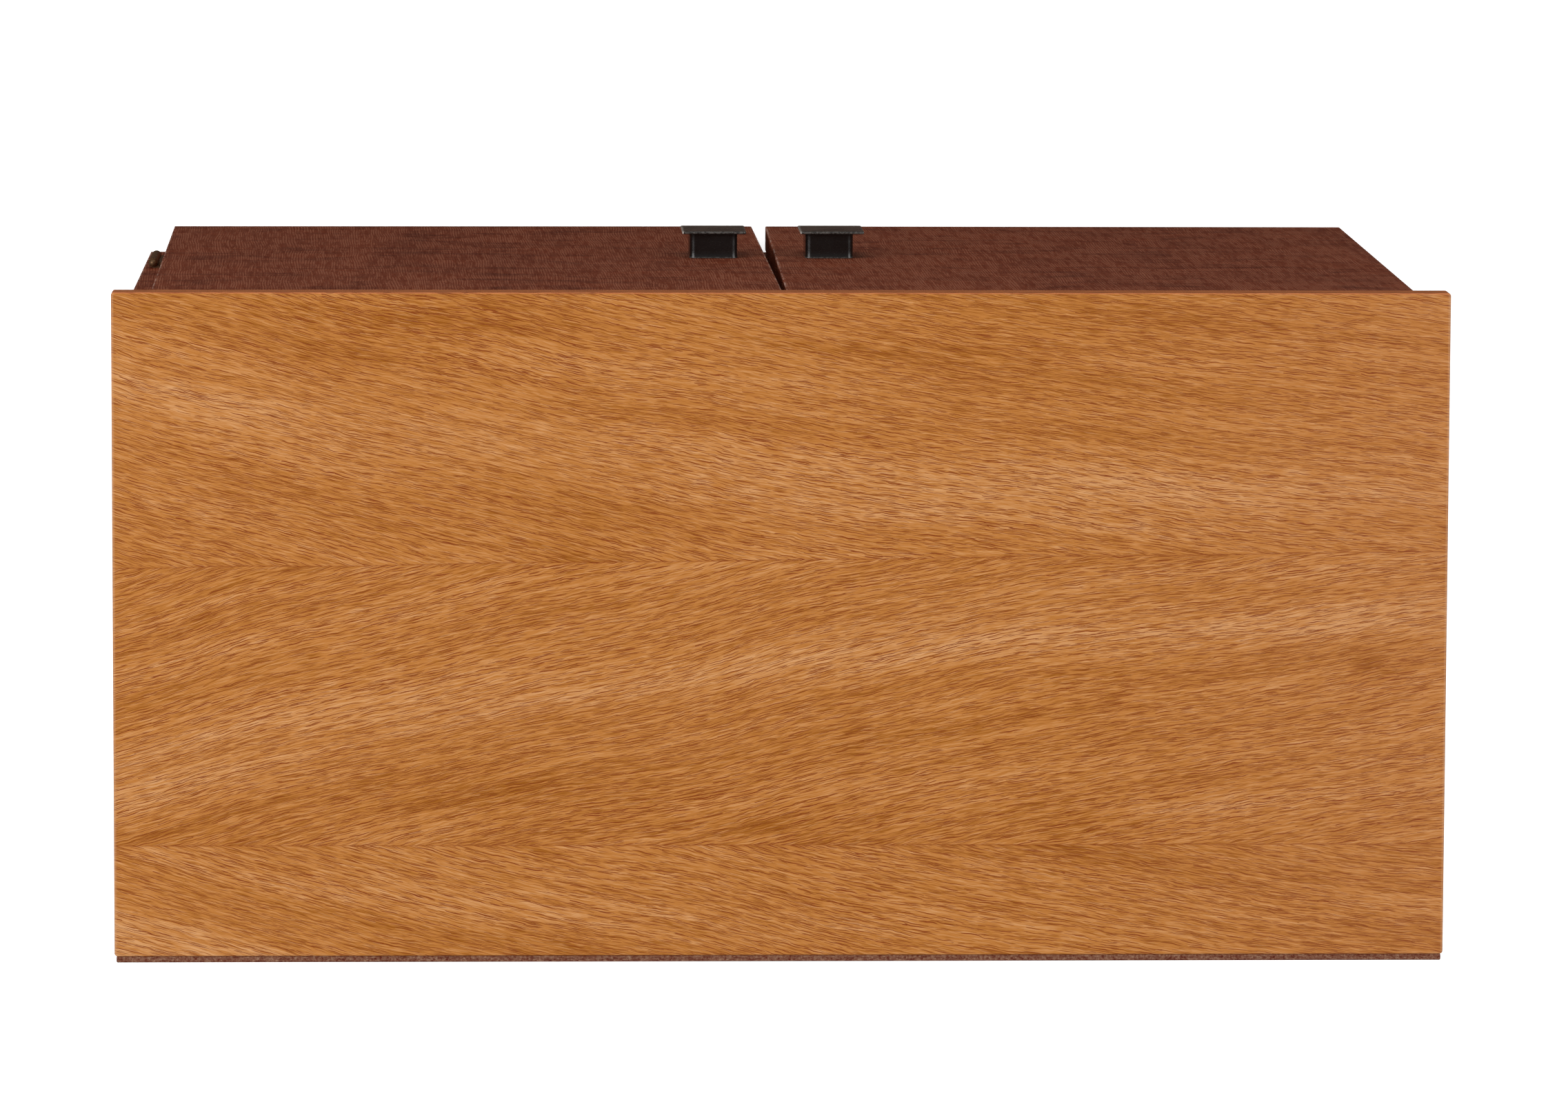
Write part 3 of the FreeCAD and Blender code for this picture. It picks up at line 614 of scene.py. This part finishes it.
def plywood(name, colours, along, thick, origin, ply):
    """Plywood: a rotary-cut face whose growth lines wander, and edges of plies laid across each other.
    Thick is the axis through the sheet, origin its start and ply one layer's thickness."""
    material, tree, shader = finish_for(name)
    point, parts = tree.place()
    order = [along, *(axis for axis in (0, 1, 2) if axis not in (along, thick)), thick]
    grain = tree.combine(*(parts[axis] for axis in order))
    wander = tree.noise(grain, stretch=(0.9, 4.5, 4.5), detail=1.0)
    wander = tree.total(wander, tree.times(tree.parts(grain)[1], 0.9))
    lines = tree.noise(tree.combine(0.0, tree.times(wander, 17.0), 0.0), detail=3.0, roughness=0.6)
    pores = tree.effect("Pore strokes", grain=grain, length=0.009, width=0.0014, slimness=0.15,
                        rows=lines, amount=0.3)
    face = tree.mix(tree.smooth(lines, 0.35, 0.7, 0.0, 0.6), colours.ply_ground, colours.ply_dark)
    face = tree.mix(tree.times(pores["Strokes"], 0.55), face, colours.oak_pore)
    layer = tree.over(tree.minus(parts[thick], origin), ply)
    crossed = tree.math("GREATER_THAN", tree.math("FRACT", tree.times(layer, 0.5)), 0.5)
    glue = tree.smooth(tree.math("PINGPONG", layer, 0.5), 0.08, 0.02)
    edge = tree.mix(crossed, colours.ply_ground, colours.ply_dark)
    edge = tree.mix(tree.times(glue, 0.6), edge, tint(82, 54, 34))
    on_edge = tree.smooth(tree.math("ABSOLUTE", tree.facing()[thick]), 0.6, 0.4)
    body = tree.mix(on_edge, face, edge)
    marks = tree.effect("Handling", vector=point, size=0.09)
    body = tree.mix(tree.smooth(marks["Smudge"], 0.5, 0.8, 0.0, 0.25), body, tint(132, 96, 68))
    coat(tree, shader, body, tree.smooth(pores["Fibre"], 0.2, 0.8, 0.6, 0.78),
         tree.minus(pores["Fibre"], pores["Strokes"]), 0.0001, 0.6, specular=0.3)
    return material


def black_enamel(colours):
    """Gloss enamel: a faint orange-peel skin, greasy patches, a thinner brown film on rubbed edges, and a
    pale painted highlight on the plates' right-hand bevels.
    """
    material, tree, shader = finish_for("Black enamel")
    point, _ = tree.place()
    marks = tree.effect("Handling", vector=point, size=0.02)
    wear_and_highlight = tree.node("ShaderNodeAttribute", attribute_name="rubbed").outputs["Fac"]
    broken = tree.noise(point, scale=520.0, detail=3.0, roughness=0.7)
    wear_and_highlight = tree.times(wear_and_highlight, tree.smooth(broken, 0.4, 0.56, 0.2, 0.95))
    body = tree.mix(tree.times(marks["Smudge"], 0.2), colours.enamel, tint(40, 33, 30))
    # pale along the marked edges: rubbed enamel, and a painted highlight on the plates' right-hand bevels
    body = tree.mix(wear_and_highlight, body, colours.enamel_wear_and_highlight)
    body = tree.mix(tree.times(marks["Dust"], 0.1), body, tint(120, 112, 104))
    skin = tree.noise(point, scale=950.0, detail=1.0)
    coat(tree, shader, body, tree.smooth(marks["Smudge"], 0.3, 0.8, 0.16, 0.34), skin, 0.00003, 0.5,
         specular=0.3, coat_weight=0.15, coat_roughness=0.08)
    return material


def old_brass(name, colours, brightness):
    """Brass with a brown skin that has gone patchy, brighter on rubbed places. Brightness is the share that
    shows bare metal."""
    material, tree, shader = finish_for(name)
    point, _ = tree.place()
    patches = tree.noise(point, scale=260.0, detail=4.0, roughness=0.65)
    bare = tree.smooth(patches, 0.72 - 0.45 * brightness, 0.84 - 0.45 * brightness)
    fine = tree.noise(point, scale=1500.0, detail=2.0)
    skin = tree.mix(tree.smooth(fine, 0.35, 0.7), colours.bronze, tint(72, 52, 36))
    tree.feed(shader.inputs["Metallic"], tree.smooth(bare, 0.0, 1.0, 0.65, 1.0))
    roughness = tree.smooth(tree.total(bare, fine), 0.3, 1.6, 0.5, 0.26)
    coat(tree, shader, tree.mix(bare, skin, colours.brass), roughness,
         tree.total(fine, patches), 0.00006, 0.5)
    return material


def plated_steel(colours):
    """Zinc-plated steel: fine turning lines, faint yellow bloom, dull specks."""
    material, tree, shader = finish_for("Plated steel")
    point, _ = tree.place()
    lines = tree.noise(point, stretch=(400.0, 60.0, 2600.0), detail=2.0)
    bloom = tree.noise(point, scale=140.0, detail=2.0)
    body = tree.mix(tree.smooth(bloom, 0.45, 0.75, 0.0, 0.4), colours.steel, tint(150, 142, 116))
    body = tree.mix(tree.smooth(lines, 0.3, 0.7, 0.0, 0.25), body, tint(96, 96, 98))
    coat(tree, shader, body, tree.smooth(lines, 0.2, 0.8, 0.26, 0.42), lines, 0.00002, 0.5, metallic=1.0)
    return material


def catch_plastic(colours):
    """Moulded plastic with a fine spark-eroded texture."""
    material, tree, shader = finish_for("Catch plastic")
    point, _ = tree.place()
    texture = tree.noise(point, scale=1700.0, detail=2.0, roughness=0.6)
    marks = tree.effect("Handling", vector=point, size=0.03)
    body = tree.mix(tree.smooth(texture, 0.3, 0.7, 0.0, 0.4), colours.plastic, tint(66, 58, 52))
    body = tree.mix(tree.times(marks["Dust"], 0.4), body, tint(120, 112, 104))
    coat(tree, shader, body, tree.smooth(marks["Smudge"], 0.2, 0.8, 0.42, 0.6), texture, 0.00004, 0.6)
    return material


# Surfaces

def grid_faces(rows, columns, wraps):
    """Quads between neighbouring points of a grid, as corner numbers; the last column joins the first when
    the grid wraps."""
    cells = columns if wraps else columns - 1
    row, column = np.meshgrid(np.arange(rows - 1), np.arange(cells), indexing="ij")
    after = (column + 1) % columns
    near, far = row * columns, (row + 1) * columns
    corners = (near + column, near + after, far + after, far + column)
    return np.stack(corners, axis=-1).reshape(-1, 4)


def copies(points, faces, offsets):
    """The same points and faces at each offset, as one set."""
    count = len(points)
    moved = (points[None, :, :] + np.asarray(offsets)[:, None, :]).reshape(-1, 3)
    shifted = (faces[None, :, :] + count * np.arange(len(offsets))[:, None, None]).reshape(-1, faces.shape[1])
    return moved, shifted


def surface(name, points, faces, body, material, smooth=40.0, rubbed=None):
    """A mesh object from arrays, riding on a body. Points that coincide at poles become one, and the faces of
    each closed shell are then turned outward."""
    mesh = bpy.data.meshes.new(name)
    mesh.from_pydata(points.tolist(), [], faces.tolist())
    if rubbed is not None:
        mesh.attributes.new("rubbed", "FLOAT", "POINT").data.foreach_set("value", rubbed.astype(np.float32))
    shell = bmesh.new()
    shell.from_mesh(mesh)
    bmesh.ops.remove_doubles(shell, verts=shell.verts, dist=1e-6)
    bmesh.ops.recalc_face_normals(shell, faces=shell.faces)
    shell.to_mesh(mesh)
    shell.free()
    thing = bpy.data.objects.new(name, mesh)
    bpy.context.scene.collection.objects.link(thing)
    thing.data.materials.append(material)
    mesh.update()
    mesh.validate()
    mesh.shade_smooth()
    mesh.set_sharp_from_angle(angle=math.radians(smooth))
    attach(thing, body)
    return thing


def turned(profile, around):
    """A shape turned about Z: each point of the profile, radius and height, goes round a full circle. The
    first and last radius are 0, so the ends are closed by a ring of no size."""
    angle = np.linspace(0, 2 * np.pi, around, endpoint=False)
    radius, height = np.asarray(profile, float).T
    x = radius[:, None] * np.cos(angle)
    y = radius[:, None] * np.sin(angle)
    z = np.repeat(height[:, None], around, axis=1)
    return np.stack((x, y, z), axis=-1).reshape(-1, 3), grid_faces(len(radius), around, True)


def rounded_loop(width, height, corner, steps):
    """A rectangle with round corners: four quarter circles of the corner's radius, one about each corner's
    centre, joined by the straight sides between them."""
    angle = (np.arange(4)[:, None] * np.pi / 2 + np.linspace(0, np.pi / 2, steps)[None, :]).ravel()
    turn = np.repeat(np.arange(4) * np.pi / 2 + np.pi / 4, steps)
    x = np.sign(np.cos(turn)) * (width / 2 - corner) + corner * np.cos(angle)
    z = np.sign(np.sin(turn)) * (height / 2 - corner) + corner * np.sin(angle)
    return x, z


def lofted(sections, steps):
    """Rounded rectangles stacked along -Y. Each section is width, height, corner radius and how far out it
    stands; a first and a last section of no size close the ends."""
    rings = []
    for width, height, corner, out in sections:
        x, z = rounded_loop(width, height, corner, steps)
        rings.append(np.stack((x, np.full_like(x, -out), z), axis=-1))
    points = np.concatenate(rings)
    return points, grid_faces(len(sections), 4 * steps, True)


def slotted_head(radius, dome, slot_width, slot_depth, thickness):
    """A round screw head seen along +Z: lines across it at heights v, each half as long as the circle is
    wide there. It is domed by a share of what is left of the radius, and drops by the slot's depth between
    the slot's two edges; a flat underside closes it."""
    slot = slot_width / 2 / radius
    outer = np.linspace(slot + 0.02, 1.0, 9)
    v = np.concatenate((-outer[::-1], [-slot, -slot + 0.02, slot - 0.02, slot], outer))
    u = np.sin(np.linspace(-np.pi / 2, np.pi / 2, 15))
    across, up = np.meshgrid(u, v)
    x = across * np.sqrt(np.clip(1 - up**2, 0, None))
    rise = dome * (1 - (x**2 + up**2) ** 1.5)
    in_slot = np.abs(up) < slot - 0.01
    top = np.stack((x * radius, up * radius, np.where(in_slot, rise - slot_depth, rise)), axis=-1)
    under = top.copy()
    under[..., 2] = -thickness
    rows, columns = x.shape
    count = rows * columns
    faces = grid_faces(rows, columns, False)
    index = np.arange(count).reshape(rows, columns)
    rim = np.concatenate((index[0, :-1], index[:-1, -1], index[-1, :0:-1], index[:0:-1, 0]))
    after = np.roll(rim, -1)
    skirt = np.stack((rim, rim + count, after + count, after), axis=-1)
    points = np.concatenate((top.reshape(-1, 3), under.reshape(-1, 3)))
    return points, np.concatenate((faces, faces[:, ::-1] + count, skirt))


def turn_y(points, towards):
    """Points made along Z, turned so that Z points along Y: towards is +1 or -1."""
    x, y, z = points.T
    return np.stack((x * -towards, z * towards, y), axis=-1)


# Operators

def settings():
    scene = bpy.context.scene
    return scene.cabinet_shape, scene.cabinet_finish, scene.cabinet_studio


class CABINET_OT_top(bpy.types.Operator):
    """Finishes the top with book-matched veneer"""

    bl_idname = "cabinet.top"
    bl_label = "Veneered top"

    def execute(self, context):
        _, finish, _ = settings()
        dress(nodes_named("top"), honey_oak(finish))
        dress(nodes_named("top_lipping"), lipping_wood(finish))
        return {"FINISHED"}


class CABINET_OT_stained_boards(bpy.types.Operator):
    """Finishes the doors, sides, bottom and plinth in dark stained oak"""

    bl_idname = "cabinet.stained_boards"
    bl_label = "Stained boards"

    def execute(self, context):
        _, finish, _ = settings()
        drop = math.radians(0.37)
        for name, order, angle in (("door_left", (2, 0, 1), -drop), ("door_right", (2, 0, 1), drop),
                                   ("side_left", (2, 1, 0), 0.0), ("side_right", (2, 1, 0), 0.0),
                                   ("bottom", (0, 1, 2), 0.0), ("plinth_rails", (0, 2, 1), 0.0),
                                   ("plinth_ends", (1, 2, 0), 0.0)):
            label = "Stained oak, " + name.replace("_", " ")
            dress(nodes_named(name), stained_oak(label, finish, order, *own_box(name, angle), angle))
        return {"FINISHED"}


class CABINET_OT_cases(bpy.types.Operator):
    """Finishes the type cases, their runners and the plywood back and floors"""

    bl_idname = "cabinet.cases"
    bl_label = "Cases, runners and back"

    def execute(self, context):
        _, finish, _ = settings()
        dress(nodes_named("runners_left", "runners_right"), plain_oak("Oak, runners", finish, "runner"))
        frames = nodes_named(*(f"case_{n}_frame" for n in CASES))
        dress(frames, plain_oak("Oak, case frames", finish, "frame"))
        dividers = nodes_named(*(f"case_{n}_dividers" for n in CASES))
        dress(dividers, plain_oak("Oak, dividers", finish, "divider"))
        low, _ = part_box("back")
        dress(nodes_named("back"), plywood("Plywood, back", finish, 2, 1, low.y, 0.0012))
        for n in CASES:
            low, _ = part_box(f"case_{n}_floor")
            sheet = plywood(f"Plywood, case {n} floor", finish, 0, 2, low.z, 0.00134)
            dress(nodes_named(f"case_{n}_floor"), sheet)
        return {"FINISHED"}


class CABINET_OT_handles(bpy.types.Operator):
    """Makes the enamelled handles: a flared stem and a bevelled, slightly crowned plate"""

    bl_idname = "cabinet.handles"
    bl_label = "Handles"

    def execute(self, context):
        shape, finish, _ = settings()
        enamel = black_enamel(finish)
        for name, _ in SIDES:
            low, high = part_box(f"handle_{name}_stem")
            width, height, reach = high.x - low.x, high.z - low.z, high.y - low.y
            flare = shape.stem_flare
            corner = 0.0045
            tight = (width - 2 * flare, height - 2 * flare)
            sections = [(0, 0, 0, 0.0), (width - 0.001, height - 0.001, corner, 0.0),
                        (width, height, corner, 0.0002), (width, height, corner, 0.0006),
                        (width - flare, height - flare, corner, 0.0012), (*tight, corner, 0.0022)]
            sections += [(*tight, corner, 0.0022 + (reach - 0.0044) * share)
                         for share in (0.25, 0.5, 0.75, 1.0)]
            sections += [(width - flare, height - flare, corner, reach - 0.0012),
                         (width, height, corner, reach - 0.0005),
                         (width, height, corner, reach), (0, 0, 0, reach)]
            points, faces = lofted(sections, 10)
            centre = np.array(((low.x + high.x) / 2, high.y, (low.z + high.z) / 2))
            edge = np.zeros((len(sections), 40))
            edge[1:4] = 0.12
            stem = surface(f"handle_{name}_stem_enamelled", points + centre, faces, f"door_{name}",
                           enamel, rubbed=edge.ravel())
            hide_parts(f"handle_{name}_stem")

            low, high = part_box(f"handle_{name}_plate")
            width, height, thick = high.x - low.x, high.z - low.z, high.y - low.y
            bevel, crown = shape.plate_bevel, shape.plate_crown
            flat = thick - crown
            sections = [(0, 0, 0, 0.0), (width - 0.0008, height - 0.0008, 0.0012, 0.0),
                        (width - 0.0002, height - 0.0002, 0.0013, 0.0002), (width, height, 0.0013, 0.0005),
                        (width, height, 0.0013, flat - 0.0006),
                        (width - 0.0003, height - 0.0003, 0.0013, flat - 0.0003),
                        (width - 0.0008, height - 0.0008, 0.0013, flat - 0.0001),
                        (width - 2 * bevel, height - 2 * bevel, 0.001, flat)]
            sections += [(share * width - 2 * bevel, share * height - 2 * bevel, 0.001,
                          thick - crown * share**4) for share in (0.97, 0.9, 0.75, 0.5, 0.25)]
            sections += [(0, 0, 0, thick)]
            points, faces = lofted(sections, 8)
            centre = np.array(((low.x + high.x) / 2, high.y, (low.z + high.z) / 2))
            edge = np.zeros((len(sections), 32))
            # the right-hand edge gets a pale painted highlight where its bevel catches the key light; the
            # other edges are a little rubbed
            edge[3:7] = np.where(points.reshape(len(sections), 32, 3)[3:7, :, 0] > 0.48 * width, 1.0, 0.16)
            plate = surface(f"handle_{name}_plate_enamelled", points + centre, faces, f"door_{name}",
                            enamel, rubbed=edge.ravel())
            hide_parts(f"handle_{name}_plate")
        return {"FINISHED"}


class CABINET_OT_hinges(bpy.types.Operator):
    """Finishes the hinge leaves and makes their ball-tipped pins"""

    bl_idname = "cabinet.hinges"
    bl_label = "Hinges"

    def execute(self, context):
        shape, finish, _ = settings()
        brass = old_brass("Aged brass, hinges", finish, 0.35)
        for name, _ in SIDES:
            dress(nodes_named(*(f"hinge_{name}_{level}_{leaf}" for level in ("lower", "upper")
                                for leaf in ("fixed", "door"))), brass)
            starts = []
            for level in ("lower", "upper"):
                low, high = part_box(f"hinge_{name}_{level}_fixed")
                starts.append(low.z)
                barrel_length = high.z - low.z
            low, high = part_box(f"hinge_{name}_pins")
            centre = ((low.x + high.x) / 2, (low.y + high.y) / 2)
            # the tip from the barrel outwards: collar, neck, ball and a small button
            swell = np.linspace(math.radians(-50), math.radians(76), 12)
            ball = np.stack((0.0030 * np.cos(swell), 0.0026 + 0.0030 * np.sin(swell)), axis=-1)
            foot = ((0.0015, 0.0), (0.0031, 0.00002), (0.00335, 0.00015), (0.0033, 0.0004))
            tip = np.concatenate((foot, ball, ((0.0, 0.0056),)))
            upper = tip + (0.0, barrel_length)
            lower = tip[::-1] * (1, -1)
            points, faces = turned(np.concatenate((lower, upper)), shape.around)
            points, faces = copies(points, faces, [(*centre, start) for start in starts])
            pins = surface(f"hinge_{name}_pins_turned", points, faces, "cabinet", brass,
                           smooth=35.0)
            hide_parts(f"hinge_{name}_pins")
        return {"FINISHED"}


class CABINET_OT_screws(bpy.types.Operator):
    """Makes the slotted screws of the hinges and of the handles"""

    bl_idname = "cabinet.screws"
    bl_label = "Screws"

    def screws(self, name, node, body, slot, material, head, towards, places, shank):
        """Slotted heads with tapered shanks. Towards is the way the heads face along Y."""
        points, faces = slotted_head(*head)
        stalk, sides = turned(((0.0, -head[4] + 0.0001), (shank[0], -head[4]), (shank[0], -shank[1] * 0.7),
                               (shank[0] * 0.6, -shank[1] * 0.92), (0.0, -shank[1])), 20)
        faces = np.concatenate((faces, sides + len(points)))
        points = turn_y(np.concatenate((points, stalk)), towards)
        points, faces = copies(points, faces, places)
        made = surface(name, points, faces, body, material, smooth=30.0)
        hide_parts(node)

    def execute(self, context):
        shape, finish, _ = settings()
        bright = old_brass("Brass, screws", finish, 0.8)
        steel = plated_steel(finish)
        head = (0.0022, 0.0002, shape.slot_width, 0.0006, 0.0014)
        fixed = []
        for name, side in SIDES:
            axis = next(joint for joint in frame["joints"] if joint["name"] == f"door_{name}_hinge")["pos_m"]
            edge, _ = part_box(f"side_{name}")
            moving = []
            for level in ("lower", "upper"):
                low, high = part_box(f"hinge_{name}_{level}_door")
                for z in (low.z + 0.011, high.z - 0.011):
                    fixed.append((axis[0] - side * 0.0059, edge.y - 0.0018, z))
                    moving.append((axis[0] - side * 0.026, axis[1] + 0.0018, z))
            self.screws(f"hinge_{name}_door_screws_slotted", f"hinge_{name}_door_screws", f"door_{name}",
                        "brass", bright, head, 1, moving, (0.0013, 0.0138))
            low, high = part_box(f"handle_{name}_screws")
            x = (low.x + high.x) / 2
            pan = (0.004, 0.0013, 0.0011, 0.0011, 0.0011)
            places = [(x, high.y - 0.0013, low.z + 0.004), (x, high.y - 0.0013, high.z - 0.004)]
            self.screws(f"handle_{name}_screws_slotted", f"handle_{name}_screws", f"door_{name}",
                        "steel", steel, pan, 1, places, (0.002, high.y - low.y - 0.002))
        self.screws("hinge_side_screws_slotted", "hinge_side_screws", "cabinet",
                    "brass", bright, head, -1, fixed, (0.0013, 0.0138))
        dress(nodes_named("strike_left", "strike_right"), steel)
        return {"FINISHED"}


class CABINET_OT_catches(bpy.types.Operator):
    """Finishes the magnetic catches"""

    bl_idname = "cabinet.catches"
    bl_label = "Catches"

    def execute(self, context):
        _, finish, _ = settings()
        dress(nodes_named("catch_left", "catch_right"), catch_plastic(finish))
        return {"FINISHED"}


class CABINET_OT_knobs(bpy.types.Operator):
    """Turns the knobs of the type cases"""

    bl_idname = "cabinet.knobs"
    bl_label = "Knobs"

    def execute(self, context):
        shape, finish, _ = settings()
        brass = old_brass("Aged brass, knobs", finish, 0.55)
        for n in CASES:
            low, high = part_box(f"case_{n}_knob")
            reach = high.y - low.y
            radius = (high.x - low.x) / 2
            # foot, neck, swelling back, rim, step and a shallow dished face, as radius and height
            profile = np.array(((0, 0), (0.62, 0), (0.62, 0.05), (0.55, 0.08), (0.49, 0.16), (0.46, 0.28),
                                (0.5, 0.38), (0.66, 0.47), (0.86, 0.55), (0.96, 0.61), (1.0, 0.68),
                                (1.0, 0.76), (0.96, 0.83), (0.88, 0.87), (0.86, 0.93), (0.82, 0.98),
                                (0.74, 1.0), (0.62, 0.98), (0.4, 0.95), (0.2, 0.935), (0, 0.93)))
            points, faces = turned(profile * (radius, reach), shape.around)
            points = turn_y(points, -1) + np.array(((low.x + high.x) / 2, high.y, (low.z + high.z) / 2))
            knob = surface(f"case_{n}_knob_turned", points, faces, f"case_{n}", brass,
                           smooth=30.0)
            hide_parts(f"case_{n}_knob")
        return {"FINISHED"}


class CABINET_OT_panel_pins(bpy.types.Operator):
    """Sets the row of domed pins that hold the back panel"""

    bl_idname = "cabinet.panel_pins"
    bl_label = "Back-panel pins"

    def execute(self, context):
        shape, _, _ = settings()
        low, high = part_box("back")
        inset = 0.0045
        radius = shape.pin_head
        columns = np.linspace(low.x + 0.02, high.x - 0.02, 1 + round((high.x - low.x) / shape.pin_pitch))
        rows = np.linspace(low.z + 0.04, high.z - 0.04, 1 + round((high.z - low.z) / shape.pin_pitch))
        level = np.full_like(columns, low.z + 0.009)
        upright = np.full_like(rows, low.x + inset)
        x = np.concatenate((columns, upright, -upright))
        z = np.concatenate((level, rows, rows))
        swell = np.linspace(0, np.pi / 2, 5)
        dome = np.stack((radius * np.cos(swell), 0.0005 * np.sin(swell)), axis=-1)
        points, faces = turned(np.concatenate((((0, -0.0004), (radius, -0.0004)), dome)), 14)
        places = np.stack((x, np.full_like(x, high.y), z), axis=-1)
        points, faces = copies(turn_y(points, 1), faces, places)
        steel = bpy.data.materials["Plated steel"]
        surface("back_panel_pins", points, faces, "cabinet", steel)
        return {"FINISHED"}


class CABINET_OT_stage(bpy.types.Operator):
    """Lays the pale floor and sets the soft lights and the camera"""

    bl_idname = "cabinet.stage"
    bl_label = "Stage"

    def floor(self, studio):
        """A flat sheet of squares, 24 m wide."""
        side = np.linspace(-12, 12, 9)
        x, y = np.meshgrid(side, side)
        points = np.stack((x, y, np.zeros_like(x)), axis=-1).reshape(-1, 3)
        mesh = bpy.data.meshes.new("floor")
        mesh.from_pydata(points.tolist(), [], grid_faces(9, 9, False).tolist())
        thing = bpy.data.objects.new("floor", mesh)
        bpy.context.scene.collection.objects.link(thing)
        material, tree, shader = finish_for("Pale floor")
        point, _ = tree.place()
        clouds = tree.noise(point, scale=0.6, detail=2.0)
        body = tree.mix(tree.smooth(clouds, 0.2, 0.8, 0.0, 0.06), studio.floor, tint(236, 236, 236))
        tree.feed(shader.inputs["Base Color"], body)
        shader.inputs["Roughness"].default_value = 0.9
        shader.inputs["Specular IOR Level"].default_value = 0.1
        # evenly lit from below for the eye, and dull to the object, so that dark polish stays dark
        tree.feed(shader.inputs["Emission Color"], body)
        shader.inputs["Emission Strength"].default_value = studio.floor_glow
        seen = tree.node("ShaderNodeLightPath").outputs["Is Camera Ray"]
        dull = tree.node("ShaderNodeBsdfDiffuse", {"Color": tint(100, 86, 78)})
        both = tree.node("ShaderNodeMixShader")
        tree.feed(both.inputs[0], seen)
        tree.feed(both.inputs[1], dull.outputs[0])
        tree.feed(both.inputs[2], shader.outputs[0])
        tree.feed(material.node_tree.nodes["Material Output"].inputs["Surface"], both.outputs[0])
        mesh.materials.append(material)

    def light(self, name, power, place, target, size):
        lamp = bpy.data.lights.new(name, "AREA")
        lamp.shape = "RECTANGLE"
        lamp.size, lamp.size_y = size
        lamp.energy = power
        thing = bpy.data.objects.new(name, lamp)
        bpy.context.scene.collection.objects.link(thing)
        thing.location = place
        thing.rotation_euler = (Vector(target) - Vector(place)).to_track_quat("-Z", "Y").to_euler()
        thing.visible_camera = False

    def execute(self, context):
        _, _, studio = settings()
        self.floor(studio)
        self.light("key", studio.key_power, (2.6, -0.7, 2.5), (0, 0, 0.4), (1.6, 2.2))
        self.light("fill", studio.fill_power, (-2.6, -0.5, 2.5), (0, 0, 0.4), (1.6, 2.2))
        self.light("front", studio.front_power, (0.3, -3.2, 2.0), (0, 0, 0.4), (2.6, 1.2))
        self.light("back", studio.front_power, (0.0, 3.2, 2.4), (0, 0, 0.4), (2.6, 1.2))
        scene = context.scene
        world = bpy.data.worlds.new("Surround")
        world.use_nodes = True
        world.node_tree.nodes["Background"].inputs["Color"].default_value = (1, 1, 1, 1)
        world.node_tree.nodes["Background"].inputs["Strength"].default_value = studio.sky
        scene.world = world
        scene.view_settings.view_transform = "Standard"
        # the camera: high in front of the cabinet, with the front edge at the upper side of its view
        camera = bpy.data.cameras.new("camera")
        camera.sensor_width = 36.0
        camera.lens = 195.28
        camera.clip_end = 60.0
        thing = bpy.data.objects.new("camera", camera)
        scene.collection.objects.link(thing)
        back = Vector((0.035483, -0.118629, 0.992304)).normalized()
        right = Vector((-0.99937, -0.003793, 0.035283))
        right = (right - back * right.dot(back)).normalized()
        turn = Matrix((right, back.cross(right), back)).transposed().to_4x4()
        thing.matrix_world = Matrix.Translation((0.20184, -0.71687, 6.30439)) @ turn
        scene.camera = thing
        return {"FINISHED"}


OPERATORS = (CABINET_OT_stage, CABINET_OT_top, CABINET_OT_stained_boards, CABINET_OT_cases,
             CABINET_OT_handles, CABINET_OT_hinges, CABINET_OT_screws, CABINET_OT_catches,
             CABINET_OT_knobs, CABINET_OT_panel_pins)


class CABINET_PT_sidebar(bpy.types.Panel):
    """Lists the cabinet's pieces and their settings"""

    bl_idname = "CABINET_PT_sidebar"
    bl_label = "Type-case cabinet"
    bl_space_type = "VIEW_3D"
    bl_region_type = "UI"
    bl_category = "Cabinet"

    def draw(self, context):
        for group in settings():
            box = self.layout.box()
            for name in group.__annotations__:
                box.prop(group, name)
        for operator in OPERATORS:
            self.layout.operator(operator.bl_idname)


CLASSES = (CabinetShape, CabinetFinish, CabinetStudio, *OPERATORS, CABINET_PT_sidebar)


def register():
    for item in CLASSES:
        bpy.utils.register_class(item)
    bpy.types.Scene.cabinet_shape = PointerProperty(type=CabinetShape)
    bpy.types.Scene.cabinet_finish = PointerProperty(type=CabinetFinish)
    bpy.types.Scene.cabinet_studio = PointerProperty(type=CabinetStudio)


def unregister():
    del bpy.types.Scene.cabinet_studio
    del bpy.types.Scene.cabinet_finish
    del bpy.types.Scene.cabinet_shape
    for item in reversed(CLASSES):
        bpy.utils.unregister_class(item)


def main():
    register()
    effects()
    for operator in OPERATORS:
        family, action = operator.bl_idname.split(".")
        getattr(getattr(bpy.ops, family), action)()


if __name__ == "__main__":
    main()
